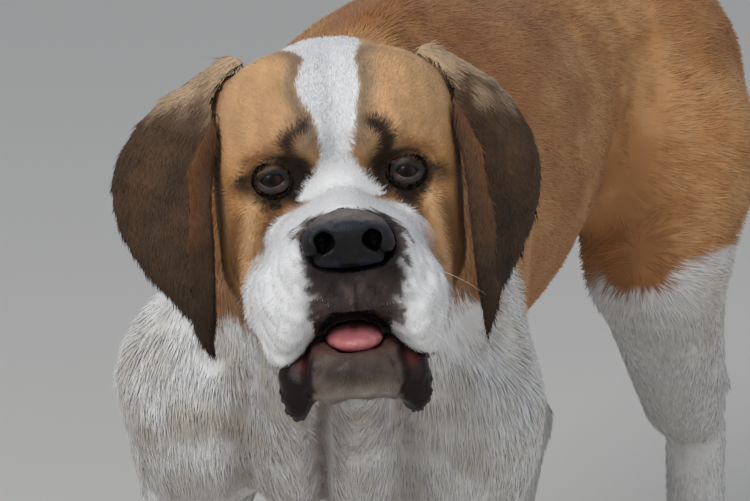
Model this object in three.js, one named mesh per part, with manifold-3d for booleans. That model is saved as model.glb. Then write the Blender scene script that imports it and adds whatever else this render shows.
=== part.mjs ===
// A smooth-coated Saint Bernard, life size: it stands on four feet with its head low and turned to its left.
// Millimetres, +Z up, the floor at Z = 0. The dog faces -Y and its left side is +X.
// The flesh is one field of balls and limbs that blend into each other. Each node is a net over that field,
// parted from its neighbours by thin cuts. Ears, eyes, tongue and claws have shapes of their own.
import * as THREE from "three";
import { mergeVertices } from "three/addons/utils/BufferGeometryUtils.js";
import { SimplifyModifier } from "three/addons/modifiers/SimplifyModifier.js";
import Module from "manifold-3d";

const wasm = await Module();
wasm.setup();

// Driving dimensions.
const WITHERS = 756; // height of the back over the shoulders
const FORE_SPREAD = 112; // from the middle of the shoulders to the middle of a foreleg
const FORE_SHIFT = -26; // both forefeet stand a little to its right of the middle of the shoulders
const HIND_SPREAD = 110; // from the middle of the croup to the middle of a thigh
const RIGHT_HIND_STEP = 55; // how far the right hind foot stands in front of the left one
const EYE_SPACING = 93;
const EYEBALL = 12.5; // radius
const EYE_DEPTH = 1; // how far the middle of the eyeball lies behind the plane of the face
const LID = 3.6; // thickness of the lids
const LIDS_OPEN = { half: 13, above: 5, below: 8, droop: 12 }; // the opening about the pupil and its slope
const EAR_THICKNESS = 7;
const TAIL_THICKNESS = 38; // radius where it is widest
const ELBOW = 326; // height at which the forelegs part from the torso
const JOIN = 34; // fillet between the trunk and the neck, the head and the legs
const GAP = 0.3; // between neighbouring nodes

// How the head is carried, about the point between the eyes.
const HEAD_AT = [118, -232, 700];
const HEAD_TURN = 22; // degrees to its left
const HEAD_LIFT = 14; // degrees nose up
const HEAD_TILT = -3.5; // degrees, the crown to its right

// The spine bends to the left a little: where the shoulders and the croup stand, and how far each is turned.
const SHOULDERS_AT = [-18, 130, 0];
const SHOULDERS_TURN = 3;
const CROUP_AT = [28, 760, 0];
const CROUP_TURN = -8;

const radians = THREE.MathUtils.degToRad;
const turned = (at, turn) =>
  new THREE.Matrix4()
    .makeTranslation(...at)
    .multiply(new THREE.Matrix4().makeRotationZ(radians(turn)));
const shouldersPose = turned(SHOULDERS_AT, SHOULDERS_TURN);
const croupPose = turned(CROUP_AT, CROUP_TURN);
const headPose = turned(HEAD_AT, HEAD_TURN)
  .multiply(new THREE.Matrix4().makeRotationX(radians(-HEAD_LIFT)))
  .multiply(new THREE.Matrix4().makeRotationY(radians(HEAD_TILT)));
const placed = (pose, point) => new THREE.Vector3(...point).applyMatrix4(pose).toArray();
const aimed = (pose, direction) => new THREE.Vector3(...direction).transformDirection(pose).toArray();

// Distance fields: each form is a function of x, y and z that is negative inside.

function ball([cx, cy, cz], [rx, ry, rz], turn = [0, 0, 0]) {
  const m = new THREE.Matrix4()
    .makeRotationFromEuler(new THREE.Euler(...turn.map(radians)))
    .transpose().elements;
  return (x, y, z) => {
    const dx = x - cx;
    const dy = y - cy;
    const dz = z - cz;
    const px = (m[0] * dx + m[4] * dy + m[8] * dz) / rx;
    const py = (m[1] * dx + m[5] * dy + m[9] * dz) / ry;
    const pz = (m[2] * dx + m[6] * dy + m[10] * dz) / rz;
    const k0 = Math.hypot(px, py, pz);
    const k1 = Math.hypot(px / rx, py / ry, pz / rz);
    return k1 < 1e-9 ? -Math.min(rx, ry, rz) : (k0 * (k0 - 1)) / k1;
  };
}

// A limb runs from a to b and tapers from radius ra to radius rb.
function limb([ax, ay, az], ra, [bx, by, bz], rb) {
  const ux = bx - ax;
  const uy = by - ay;
  const uz = bz - az;
  const length2 = ux * ux + uy * uy + uz * uz;
  return (x, y, z) => {
    const dx = x - ax;
    const dy = y - ay;
    const dz = z - az;
    const t = Math.min(1, Math.max(0, (dx * ux + dy * uy + dz * uz) / length2));
    return Math.hypot(dx - t * ux, dy - t * uy, dz - t * uz) - ra - t * (rb - ra);
  };
}

function smoothMin(a, b, k) {
  const h = Math.max(k - Math.abs(a - b), 0) / k;
  return Math.min(a, b) - (h * h * k) / 4;
}

// Forms joined with a fillet of about k.
function blend(k, ...forms) {
  return (x, y, z) => forms.reduce((d, form) => smoothMin(d, form(x, y, z), k), 1e6);
}

// A form with others taken out of it, with an edge rounded by about k.
function carve(form, k, ...tools) {
  return (x, y, z) =>
    tools.reduce((d, tool) => -smoothMin(-d, tool(x, y, z), k), form(x, y, z));
}

// A chain of limbs through the points, with the radius running evenly through the radii.
function chain(points, radii, steps, k) {
  const curve = new THREE.CatmullRomCurve3(points.map((p) => new THREE.Vector3(...p)));
  const radiusAt = (t) => {
    const at = t * (radii.length - 1);
    const i = Math.min(Math.floor(at), radii.length - 2);
    return THREE.MathUtils.lerp(radii[i], radii[i + 1], at - i);
  };
  const links = [];
  for (let i = 0; i < steps; i += 1) {
    const [s, t] = [i / steps, (i + 1) / steps];
    links.push(
      limb(curve.getPoint(s).toArray(), radiusAt(s), curve.getPoint(t).toArray(), radiusAt(t)),
    );
  }
  return blend(k, ...links);
}

const both = (form) => (x, y, z) => form(Math.abs(x), y, z);

// A form that is given in the frame of a pose, as a form in the dog's frame.
function posed(form, pose) {
  const e = pose.clone().invert().elements;
  return (x, y, z) =>
    form(
      e[0] * x + e[4] * y + e[8] * z + e[12],
      e[1] * x + e[5] * y + e[9] * z + e[13],
      e[2] * x + e[6] * y + e[10] * z + e[14],
    );
}

// The head in its own frame: the origin between the eyes, -Y towards the nose, +X its left, +Z its crown.

const skull = blend(
  18,
  ball([0, 74, 26], [78, 90, 77]), // cranium
  both(ball([37, 23, 44], [42, 44, 45])), // bosses of the forehead
  both(ball([57, 50, 22], [30, 48, 54])), // temples
  both(ball([56, 46, -26], [32, 56, 60])), // cheeks
  both(limb([57, 30, -60], 26, [47, 12, -92], 19)), // loose skin of the cheeks
  both(limb([23, -10, 26], 12, [62, 10, 12], 12)), // brows
  both(limb([56, 66, 52], 24, [78, 64, 62], 15)), // base of each ear
);
const bridge = blend(
  14,
  limb([0, -2, -30], 26, [0, -76, -42], 24),
  both(limb([26, -2, -48], 29, [23, -76, -56], 24)),
);
const upperLips = blend(
  13,
  both(limb([24, -82, -66], 22, [36, -66, -78], 29)), // cushions that carry the whiskers
  both(ball([43, -50, -94], [21, 42, 38], [0, -6, 0])), // flews
  both(ball([48, -16, -84], [22, 36, 32])),
  both(ball([47, 12, -88], [22, 34, 34])), // corners of the flews
  ball([0, -88, -76], [26, 15, 19]), // middle of the lip, under the nose
);
const mouth = blend(
  7,
  ball([0, -80, -111], [20, 40, 14]),
  both(limb([5, -100, -101], 5, [25, -96, -124], 6)),
);
const EYE_AT = [EYE_SPACING / 2, EYE_DEPTH, 0];
const eyeSocket = both(ball([EYE_SPACING / 2 - 1, -9, -1], [17, 13, 11]));

const face = blend(12, carve(skull, 10, eyeSocket), bridge, upperLips);
const head = carve(face, 5, mouth);

const jaw = blend(
  9,
  ball([0, -74, -133], [31, 24, 18]), // chin
  both(ball([22, -72, -138], [12, 19, 14])), // its two lobes
  limb([0, -62, -126], 22, [0, 24, -98], 32),
  both(limb([20, -74, -124], 9, [36, -36, -118], 10)), // lower lips
  both(ball([40, -58, -140], [12, 15, 24])), // their loose corners
);

// The trunk. The shoulders and the croup are given in the frames of their own poses.

const shoulders = posed(
  blend(
    44,
    ball([16, 84, WITHERS - 92], [44, 140, 92], [0, 6, 0]), // withers
    both(ball([90, 14, 540], [57, 98, 120], [10, -8, 0])), // shoulder blades
    both(ball([115, -8, 412], [58, 84, 96])), // points of the shoulders
    ball([0, -26, 458], [116, 96, 124]), // front of the chest
  ),
  shouldersPose,
);
const croup = posed(
  blend(
    44,
    ball([0, -24, 622], [112, 132, 108]), // croup
    both(ball([82, -30, 530], [68, 118, 150], [-14, 0, 0])), // thighs
    both(ball([58, 36, 560], [56, 62, 96])), // buttocks
    limb([0, 20, 686], 40, [0, 88, 664], 34), // root of the tail
  ),
  croupPose,
);
const trunk = blend(
  50,
  shoulders,
  ball([-24, 320, 568], [142, 285, 174], [0, 0, -4]), // ribs
  ball([-18, 520, 572], [110, 180, 124], [0, 0, -6]), // belly
  ball([0, 610, 628], [96, 160, 98], [0, 0, -8]), // loin
  croup,
);

function foreleg(side) {
  const x = side * FORE_SPREAD + FORE_SHIFT;
  return posed(
    blend(
      22,
      limb([side * (FORE_SPREAD + 12), -40, 446], 60, [x + side * 4, 30, 390], 58), // upper arm
      ball([x - side * 4, 74, 392], [32, 35, 42]), // elbow
      limb([x, 24, 370], 58, [x - side * 4, 20, 205], 37), // forearm
      ball([x - side * 4, 15, 172], [38, 37, 38]), // wrist
      limb([x - side * 4, 20, 165], 34, [x, -2, 66], 35), // pastern
    ),
    shouldersPose,
  );
}

const hindStep = (side) => (side < 0 ? RIGHT_HIND_STEP : 0);
function hindleg(side) {
  const step = hindStep(side);
  const x = side * HIND_SPREAD;
  const stifle = [x - side * 4, -116 - 0.6 * step, 430];
  return posed(
    blend(
      24,
      limb([x - side * 12, -58 - 0.2 * step, 524], 92, stifle, 70), // thigh
      limb(stifle, 70, [x - side * 21, 5 - step, 262], 46), // gaskin
      limb([x - side * 24, 42 - step, 258], 19, [x - side * 26, 70 - step, 214], 24), // hock
      limb([x - side * 24, 42 - step, 212], 33, [x - side * 8, 20 - step, 70], 33), // rear pastern
    ),
    croupPose,
  );
}

// A paw stands on the floor under a leg, turned out a little, with its heel at the origin of its pose.
const pawPose = (legsPose, side, x, y, out) =>
  legsPose.clone().multiply(turned([side * x, y, 0], side * out));
const forepawPose = (side) => pawPose(shouldersPose, side, FORE_SPREAD + side * FORE_SHIFT, 30, 4);
const hindpawPose = (side) => pawPose(croupPose, side, HIND_SPREAD - 5, 54 - hindStep(side), 8);

// Four arched toes, whose middle two reach furthest forward.
const TOES = [-1.5, -0.5, 0.5, 1.5];
const toeReach = (place) => (Math.abs(place) > 1 ? 102 : 117);
function paw(pose) {
  const toes = TOES.map((place) =>
    limb([place * 20, -66, 42], 20, [place * 26, 16 - toeReach(place), 19], 19.5),
  );
  const palm = blend(16, ball([0, -44, 40], [46, 50, 38]), limb([0, -16, 26], 26, [0, -70, 30], 37));
  return posed(blend(5, palm, ...toes), pose);
}

// The tail hangs from the croup to the hocks and curves back at its tip.
const tail = posed(
  chain(
    [
      [0, 40, 682],
      [0, 112, 654],
      [4, 162, 566],
      [10, 172, 430],
      [16, 178, 310],
      [24, 214, 226],
      [30, 254, 204],
    ],
    [0.86, 0.9, 1, 1.06, 0.96, 0.76, 0.36].map((share) => share * TAIL_THICKNESS),
    14,
    8,
  ),
  croupPose,
);

// The last limb of the neck is the loose skin of the throat.
const neck = blend(
  36,
  limb(placed(shouldersPose, [14, 40, 634]), 88, placed(headPose, [0, 138, -10]), 84),
  limb(placed(shouldersPose, [10, -50, 560]), 100, placed(headPose, [0, 96, -46]), 72),
  limb(placed(shouldersPose, [26, -90, 486]), 74, placed(headPose, [0, 44, -96]), 46),
);

// Nets and cuts.

// The surface where a field is zero, with one quad for each edge of a grid that it crosses.
function net(field, low, high, cell) {
  const counts = low.map((v, i) => Math.ceil((high[i] - v) / cell) + 1);
  const [nx, ny, nz] = counts;
  const at = (i, j, k) => (k * ny + j) * nx + i;
  const values = new Float32Array(nx * ny * nz);
  for (let k = 0; k < nz; k += 1)
    for (let j = 0; j < ny; j += 1)
      for (let i = 0; i < nx; i += 1)
        values[at(i, j, k)] = field(low[0] + i * cell, low[1] + j * cell, low[2] + k * cell);
  const corners = [...Array(8).keys()].map((c) => [c & 1, (c >> 1) & 1, c >> 2]);
  const vertexOf = new Int32Array(nx * ny * nz).fill(-1);
  const positions = [];
  const addVertex = (i, j, k) => {
    const sum = [0, 0, 0];
    let crossings = 0;
    for (let c = 0; c < 8; c += 1)
      for (let axis = 0; axis < 3; axis += 1) {
        if ((c >> axis) & 1) continue;
        const a = corners[c];
        const b = corners[c | (1 << axis)];
        const va = values[at(i + a[0], j + a[1], k + a[2])];
        const vb = values[at(i + b[0], j + b[1], k + b[2])];
        if (va < 0 === vb < 0) continue;
        const t = va / (va - vb);
        crossings += 1;
        for (let n = 0; n < 3; n += 1) sum[n] += a[n] + t * (b[n] - a[n]);
      }
    if (!crossings) return;
    vertexOf[at(i, j, k)] = positions.length;
    positions.push([i, j, k].map((v, n) => low[n] + (v + sum[n] / crossings) * cell));
  };
  for (let k = 0; k < nz - 1; k += 1)
    for (let j = 0; j < ny - 1; j += 1) for (let i = 0; i < nx - 1; i += 1) addVertex(i, j, k);
  const triangles = [];
  const apart = (a, b) => Math.hypot(...positions[a].map((v, n) => v - positions[b][n]));
  for (let axis = 0; axis < 3; axis += 1) {
    const step = [0, 1, 2].map((n) => (n === axis ? 1 : 0));
    const u = [0, 1, 2].map((n) => (n === (axis + 1) % 3 ? 1 : 0));
    const v = [0, 1, 2].map((n) => (n === (axis + 2) % 3 ? 1 : 0));
    for (let k = v[2] || u[2]; k < nz - 1; k += 1)
      for (let j = v[1] || u[1]; j < ny - 1; j += 1)
        for (let i = v[0] || u[0]; i < nx - 1; i += 1) {
          const inside = values[at(i, j, k)] < 0;
          if (inside === values[at(i + step[0], j + step[1], k + step[2])] < 0) continue;
          const ring = [[0, 0], [1, 0], [1, 1], [0, 1]].map(
            ([p, q]) =>
              vertexOf[at(i - p * u[0] - q * v[0], j - p * u[1] - q * v[1], k - p * u[2] - q * v[2])],
          );
          if (!inside) ring.reverse();
          const [a, b, c, d] = ring;
          if (apart(a, c) < apart(b, d)) triangles.push(a, b, c, a, c, d);
          else triangles.push(a, b, d, b, c, d);
        }
  }
  return new THREE.BufferGeometry()
    .setAttribute("position", new THREE.Float32BufferAttribute(positions.flat(), 3))
    .setIndex(triangles);
}

// Where each net is made, the cell of its grid and about how many triangles it keeps. The face, the legs and
// the paws are netted in the frames that carry them, and the legs' boxes are those of the left side.
const NETS = {
  head: { low: [-110, -118, -150], high: [110, 180, 114], cell: 3.4, triangles: 3400 },
  jaw: { low: [-60, -105, -168], high: [60, 40, -72], cell: 4, triangles: 560 },
  leather: { low: [-40, -125, -74], high: [40, -70, -14], cell: 4, triangles: 300 },
  nose: { low: [-40, -125, -74], high: [40, -70, -14], cell: 2.5, triangles: 560 },
  neck: { low: [-220, -240, 360], high: [330, 240, 820], cell: 14, triangles: 700 },
  torso: { low: [-260, -60, 290], high: [230, 900, 800], cell: 15, triangles: 1800 },
  tail: { low: [-60, 820, 150], high: [240, 1060, 760], cell: 9, triangles: 600 },
  foreleg: { low: [-20, -130, 40], high: [210, 200, 400], cell: 11, triangles: 700 },
  thigh: { low: [4, -270, 330], high: [220, 190, 780], cell: 14, triangles: 500 },
  shank: { low: [4, -250, 40], high: [220, 190, 480], cell: 11, triangles: 700 },
  paw: { low: [-75, -135, -20], high: [75, 60, 104], cell: 5, triangles: 440 },
};

// A net over the part of a form inside a box, thinned to about the given number of triangles.
async function skin(form, { low, high, cell, triangles }) {
  const boxed = (x, y, z) =>
    Math.max(form(x, y, z), low[0] - x, x - high[0], low[1] - y, y - high[1], low[2] - z, z - high[2]);
  const margin = 1.5 * cell;
  const fine = net(boxed, low.map((v) => v - margin), high.map((v) => v + margin), cell);
  const spare = 1 - Math.min(1, (3 * triangles) / fine.index.count);
  return new SimplifyModifier().modify(fine, fine.attributes.position.count * spare);
}

// Each point moved outwards along the surface's own direction there.
function swollen(geometry, by) {
  const result = geometry.clone();
  result.computeVertexNormals();
  const { position, normal } = result.attributes;
  for (let i = 0; i < position.count; i += 1)
    position.setXYZ(
      i,
      position.getX(i) + normal.getX(i) * by,
      position.getY(i) + normal.getY(i) * by,
      position.getZ(i) + normal.getZ(i) * by,
    );
  return result;
}

function solid(geometry, pose = new THREE.Matrix4()) {
  const moved = geometry.clone().applyMatrix4(pose);
  moved.deleteAttribute("normal");
  moved.deleteAttribute("uv");
  const merged = mergeVertices(moved, 1e-3);
  return new wasm.Manifold(
    new wasm.Mesh({
      numProp: 3,
      vertProperties: merged.attributes.position.array,
      triVerts: new Uint32Array(merged.index.array),
    }),
  );
}

const largest = (made) =>
  made.decompose().reduce((best, piece) => (piece.volume() > best.volume() ? piece : best));

// The same solid with every edge shorter than a speck closed up.
const SPECK = 0.05;
function withoutSpecks(made) {
  const { vertProperties, triVerts } = made.getMesh();
  const home = [...Array(vertProperties.length / 3).keys()];
  const rootOf = (i) => (home[i] === i ? i : rootOf(home[i]));
  const point = (i) => new THREE.Vector3().fromArray(vertProperties, 3 * i);
  const join = (a, b) => {
    if (a !== b && point(a).distanceTo(point(b)) < SPECK) home[b] = a;
  };
  for (let i = 0; i < triVerts.length; i += 3)
    for (const [m, n] of [[0, 1], [1, 2], [2, 0]]) join(rootOf(triVerts[i + m]), rootOf(triVerts[i + n]));
  const kept = [];
  for (let i = 0; i < triVerts.length; i += 3) {
    const corners = [0, 1, 2].map((n) => rootOf(triVerts[i + n]));
    if (new Set(corners).size === 3) kept.push(...corners);
  }
  const geometry = new THREE.BufferGeometry()
    .setAttribute("position", new THREE.Float32BufferAttribute(vertProperties, 3))
    .setIndex(kept);
  return solid(geometry.toNonIndexed());
}

function meshOf(name, made, material) {
  const { vertProperties, triVerts } = largest(withoutSpecks(largest(made))).getMesh();
  const geometry = new THREE.BufferGeometry()
    .setAttribute("position", new THREE.Float32BufferAttribute(vertProperties, 3))
    .setIndex(new THREE.Uint32BufferAttribute(triVerts, 1));
  geometry.computeVertexNormals();
  const mesh = new THREE.Mesh(geometry, material);
  mesh.name = name;
  return mesh;
}

// What lies on the side of a plane that its normal points to, held back from the plane by half a gap.
const FAR = 1500;
function beyond({ point, normal }, back = GAP / 2) {
  const direction = new THREE.Vector3(...normal).normalize();
  const pose = new THREE.Matrix4().compose(
    new THREE.Vector3(...point).addScaledVector(direction, FAR + back),
    new THREE.Quaternion().setFromUnitVectors(new THREE.Vector3(0, 0, 1), direction),
    new THREE.Vector3(1, 1, 1),
  );
  return solid(new THREE.BoxGeometry(2 * FAR, 2 * FAR, 2 * FAR), pose);
}
const flipped = ({ point, normal }) => ({ point, normal: normal.map((v) => -v) });
const planeIn = (pose, point, normal) => ({ point: placed(pose, point), normal: aimed(pose, normal) });

const SIDES = [["left", 1], ["right", -1]];
const floor = { point: [0, 0, -GAP / 2], normal: [0, 0, 1] };
const headPlane = planeIn(headPose, [0, 152, 60], [0, -0.87, 0.49]);
const neckPlane = planeIn(shouldersPose, [0, -128, 520], [0.25, -0.82, 0.52]);
const tailPlane = planeIn(croupPose, [0, 112, 662], [0, 0.995, -0.1]);
const elbowPlane = planeIn(shouldersPose, [0, 0, ELBOW], [0, 0, -1]);
const hipPlane = (side) => planeIn(croupPose, [side * 52, -60, 470], [side * 0.93, 0, -0.36]);
const flankPlane = planeIn(croupPose, [0, -186, 500], [0, 0.92, -0.39]);
const stiflePlane = planeIn(croupPose, [0, -104, 396], [0, -0.3, 0.954]);
const anklePlane = (pose) => planeIn(pose, [0, -30, 76], [0, 0.35, 0.94]);

// Ears, in the head's frame. Each hangs in five lines from root to tip: the free front edge, the fold along
// the cheek, the hollow behind it, the middle of the flap and its back edge.
const EAR_LINES = [
  [[58, 40, 78], [86, 14, 46], [105, 0, 2], [106, -2, -44], [109, 0, -82], [99, 12, -116]],
  [[54, 42, 74], [77, 18, 42], [89, 10, 0], [90, 8, -46], [93, 10, -88], [94, 15, -119]],
  [[64, 54, 88], [96, 36, 52], [109, 30, 8], [111, 28, -36], [108, 26, -72], [101, 20, -106]],
  [[72, 70, 90], [111, 54, 60], [134, 48, 16], [133, 44, -24], [120, 38, -60], [104, 28, -98]],
  [[74, 92, 80], [120, 82, 62], [152, 74, 18], [152, 68, -22], [134, 56, -60], [105, 36, -92]],
];
const EAR_BEND = 90; // how far out from the middle of the head the flaps start to spread
const EAR_SPREAD = { left: 0.85, right: 1.1 }; // the right ear is carried wider than the left

// A closed flap over lines that run alike from root to tip, thinner towards its edges.
const RIM = 0.45; // share of the thickness that is left there, rounder a quarter of the way in
function flap(lines, thickness, across, down) {
  const curves = lines.map(
    (line) => new THREE.CatmullRomCurve3(line.map((p) => new THREE.Vector3(...p))),
  );
  const middle = (u, v) =>
    new THREE.CatmullRomCurve3(curves.map((curve) => curve.getPoint(v))).getPoint(u);
  const e = 0.01; // a small step, for directions
  const faces = [-1, 1].map((side) => {
    const points = [];
    for (let j = 0; j <= down; j += 1)
      for (let i = 0; i <= across; i += 1) {
        const [u, v] = [i / across, j / down];
        const along = middle(Math.min(u + e, 1), v).sub(middle(Math.max(u - e, 0), v));
        const downwards = middle(u, Math.min(v + e, 1)).sub(middle(u, Math.max(v - e, 0)));
        const share = Math.min(1, 4 * Math.min(u, 1 - u, 1 - v) + RIM);
        const normal = along.cross(downwards).normalize();
        points.push(middle(u, v).addScaledVector(normal, (side * thickness * share) / 2));
      }
    return points;
  });
  const row = across + 1;
  const count = faces[0].length;
  const triangles = [];
  const quad = (a, b, c, d) => triangles.push(a, b, c, a, c, d);
  for (let j = 0; j < down; j += 1)
    for (let i = 0; i < across; i += 1) {
      const a = j * row + i;
      quad(a, a + row, a + row + 1, a + 1);
      quad(count + a, count + a + 1, count + a + row + 1, count + a + row);
    }
  const rim = [];
  for (let i = 0; i < across; i += 1) rim.push([i, i + 1], [down * row + i + 1, down * row + i]);
  for (let j = 0; j < down; j += 1)
    rim.push([(j + 1) * row, j * row], [j * row + across, (j + 1) * row + across]);
  rim.forEach(([a, b]) => quad(a, b, count + b, count + a));
  return new THREE.BufferGeometry()
    .setAttribute("position", new THREE.Float32BufferAttribute(faces.flat().flatMap((p) => p.toArray()), 3))
    .setIndex(triangles);
}

function ear(name, side) {
  const spread = (x) => Math.min(x, EAR_BEND) + Math.max(x - EAR_BEND, 0) * EAR_SPREAD[name];
  const lines = EAR_LINES.map((line) => line.map(([x, y, z]) => [side * spread(x), y, z]));
  return flap(side > 0 ? lines : lines.reverse(), EAR_THICKNESS, 10, 11);
}

// The nose leather, with two nostrils and the groove between them.
const leather = blend(
  6,
  ball([0, -96, -44], [29, 18, 20]),
  both(ball([17, -104, -47], [13, 11, 14])),
  ball([0, -105, -38], [19, 10, 10]),
);
const nostrils = [
  both(limb([14, -124, -47], 6.5, [17, -102, -44], 6)),
  both(limb([17, -120, -53], 3.2, [30, -107, -55], 2.2)),
];
const nose = carve(leather, 2.5, ...nostrils, limb([0, -120, -54], 2, [0, -114, -72], 2));

const looks = Object.fromEntries(
  [
    ["tan coat", 0xb9793f, 0.9],
    ["white coat", 0xe6e0d8, 0.9],
    ["brown ear", 0x4d3a2e, 0.85],
    ["mottled lip", 0x6b555a, 0.6],
    ["nose leather", 0x211d20, 0.45],
    ["tongue", 0xc4868c, 0.4],
    ["eye", 0x2b1a12, 0.15],
  ].map(([name, color, roughness]) => [
    name,
    new THREE.MeshStandardMaterial({ name, color, roughness, metalness: 0 }),
  ]),
);
const dog = new THREE.Group();
const add = (name, made, look) => dog.add(meshOf(name, made, looks[look]));

// The head, cut for the nose, the jaw and the tongue.
const inHead = (x, y, z) => headPose.clone().multiply(new THREE.Matrix4().makeTranslation(x, y, z));
const eyePose = (side) => inHead(side * EYE_AT[0], EYE_AT[1], EYE_AT[2]);
const eyeball = (side, by = 0) => solid(new THREE.SphereGeometry(EYEBALL + by, 14, 10), eyePose(side));

// The lids close over the eyeball but for an opening between two arcs, which sags in the middle.
function lidsOpening(side) {
  const { half, above, below, droop } = LIDS_OPEN;
  const outline = new THREE.Shape()
    .moveTo(-half, 0)
    .quadraticCurveTo(0, 2 * above, half, 0)
    .quadraticCurveTo(0, -2 * below, -half, 0);
  const depth = 2 * EYEBALL;
  const pose = eyePose(side)
    .multiply(new THREE.Matrix4().makeRotationY(radians(side * droop)))
    .multiply(new THREE.Matrix4().makeRotationX(Math.PI / 2));
  return solid(new THREE.ExtrudeGeometry(outline, { depth, curveSegments: 5, bevelEnabled: false }), pose);
}

// The tongue's tip is a flat egg between the lips.
const TONGUE = { at: [1, -58, -110], radii: [20, 38, 9], lift: 7 };
function tongue(by = 0) {
  const pose = inHead(...TONGUE.at)
    .multiply(new THREE.Matrix4().makeRotationX(radians(TONGUE.lift)))
    .multiply(new THREE.Matrix4().makeScale(...TONGUE.radii.map((radius) => radius + by)));
  return solid(new THREE.SphereGeometry(1, 14, 8), pose);
}

const headAndNeck = blend(JOIN, head, posed(neck, headPose.clone().invert()));
const headSkin = await skin(headAndNeck, NETS.head);
const jawSkin = await skin(jaw, NETS.jaw);
const leatherSkin = await skin(leather, NETS.leather);
const noseSkin = await skin(nose, NETS.nose);
const CLEAR = 1.2; // room left in the head round the jaw and the nose
let headNode = solid(headSkin, headPose)
  .intersect(beyond(headPlane))
  .subtract(solid(swollen(leatherSkin, CLEAR), headPose))
  .subtract(solid(swollen(jawSkin, CLEAR), headPose))
  .subtract(tongue(CLEAR));
for (const [, side] of SIDES)
  headNode = headNode.add(eyeball(side, LID)).subtract(lidsOpening(side)).subtract(eyeball(side, GAP));
add("head", headNode, "tan coat");
add("lower_jaw", solid(jawSkin, headPose).subtract(tongue(CLEAR)), "mottled lip");
add("tongue", tongue(), "tongue");
add("nose", solid(noseSkin, headPose), "nose leather");
const headRoom = solid(swollen(headSkin, 2 * GAP), headPose);
for (const [name, side] of SIDES) {
  add(`eye_${name}`, eyeball(side), "eye");
  add(`ear_${name}`, solid(ear(name, side), headPose).subtract(headRoom), "brown ear");
}

// The neck, the torso and the tail.
const legs = SIDES.flatMap(([, side]) => [
  foreleg(side),
  hindleg(side),
  paw(forepawPose(side)),
  paw(hindpawPose(side)),
]);
const body = blend(JOIN, trunk, neck, ...legs);
const neckSkin = await skin(blend(JOIN, trunk, neck, posed(head, headPose)), NETS.neck);
add("neck", solid(neckSkin).intersect(beyond(flipped(headPlane))).intersect(beyond(neckPlane)), "white coat");
const torsoSkin = await skin(body, NETS.torso);
let torso = solid(torsoSkin).intersect(beyond(flipped(neckPlane))).intersect(beyond(flipped(tailPlane)));

// The torso gives up a block below each elbow for the foreleg.
const ROOM = { wide: 400, long: 400, high: 800, back: 60 };
const foreRoom = (side) => {
  const middle = [(side * ROOM.wide) / 2, ROOM.back, ELBOW + (GAP - ROOM.high) / 2];
  const pose = shouldersPose.clone().multiply(new THREE.Matrix4().makeTranslation(...middle));
  return solid(new THREE.BoxGeometry(ROOM.wide, ROOM.long, ROOM.high), pose);
};
for (const [, side] of SIDES) {
  torso = torso
    .subtract(foreRoom(side))
    .subtract(beyond(hipPlane(side), -GAP / 2).intersect(beyond(flankPlane, -GAP / 2)));
}
add("torso", torso, "tan coat");
const tailSkin = await skin(blend(24, tail, trunk), NETS.tail);
add("tail", solid(tailSkin).intersect(beyond(tailPlane)), "tan coat");

// The legs. Each is netted with its share of the trunk, so that its cut faces fit those of the torso.
async function legSkin(form, pose, side, net) {
  const [from, to] = [side * net.low[0], side * net.high[0]];
  const low = [Math.min(from, to), net.low[1], net.low[2]];
  const high = [Math.max(from, to), net.high[1], net.high[2]];
  return solid(await skin(posed(form, pose.clone().invert()), { ...net, low, high }), pose);
}

// Claws: a cone for each toe, pointing forwards and down.
const CLAW = { radius: 5.5, length: 22, height: 17, beyondToe: 3, spacing: 27, tip: -138 };
function claws(pose) {
  return TOES.map((place) => {
    const at = [place * CLAW.spacing, -toeReach(place) - CLAW.beyondToe, CLAW.height];
    const clawPose = pose
      .clone()
      .multiply(new THREE.Matrix4().makeTranslation(...at))
      .multiply(new THREE.Matrix4().makeRotationX(radians(CLAW.tip)));
    return solid(new THREE.ConeGeometry(CLAW.radius, CLAW.length, 7), clawPose);
  });
}

async function pawNode(form, pose) {
  const local = posed(form, pose.clone().invert());
  const flesh = await skin(local, NETS.paw);
  let made = solid(flesh, pose).intersect(beyond(flipped(anklePlane(pose))));
  for (const claw of claws(pose)) made = made.add(claw);
  return made.intersect(beyond(floor));
}

for (const [name, side] of SIDES) {
  const fore = blend(JOIN, trunk, neck, foreleg(side), paw(forepawPose(side)));
  const foreSolid = await legSkin(fore, shouldersPose, side, NETS.foreleg);
  const ankle = anklePlane(forepawPose(side));
  add(`foreleg_${name}`, foreSolid.intersect(beyond(elbowPlane)).intersect(beyond(ankle)), "white coat");
  const hind = blend(JOIN, trunk, hindleg(side), paw(hindpawPose(side)));
  const hip = beyond(hipPlane(side)).intersect(beyond(flankPlane)).intersect(beyond(flipped(tailPlane)));
  const thigh = await legSkin(hind, croupPose, side, NETS.thigh);
  add(`thigh_${name}`, thigh.intersect(hip).intersect(beyond(stiflePlane)), "tan coat");
  const shank = await legSkin(hind, croupPose, side, NETS.shank);
  const hock = anklePlane(hindpawPose(side));
  const shankNode = shank.intersect(hip).intersect(beyond(flipped(stiflePlane))).intersect(beyond(hock));
  add(`shank_${name}`, shankNode, "white coat");
  add(`forepaw_${name}`, await pawNode(fore, forepawPose(side)), "white coat");
  add(`hindpaw_${name}`, await pawNode(hind, hindpawPose(side)), "white coat");
}

const box = new THREE.Box3().setFromObject(dog);
const middle = box.getCenter(new THREE.Vector3());
dog.position.set(-middle.x, -middle.y, -box.min.z);
export default dog;
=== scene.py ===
import math

import bmesh
import bpy
import numpy as np
from mathutils import Matrix, Vector
from mathutils.bvhtree import BVHTree


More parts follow.
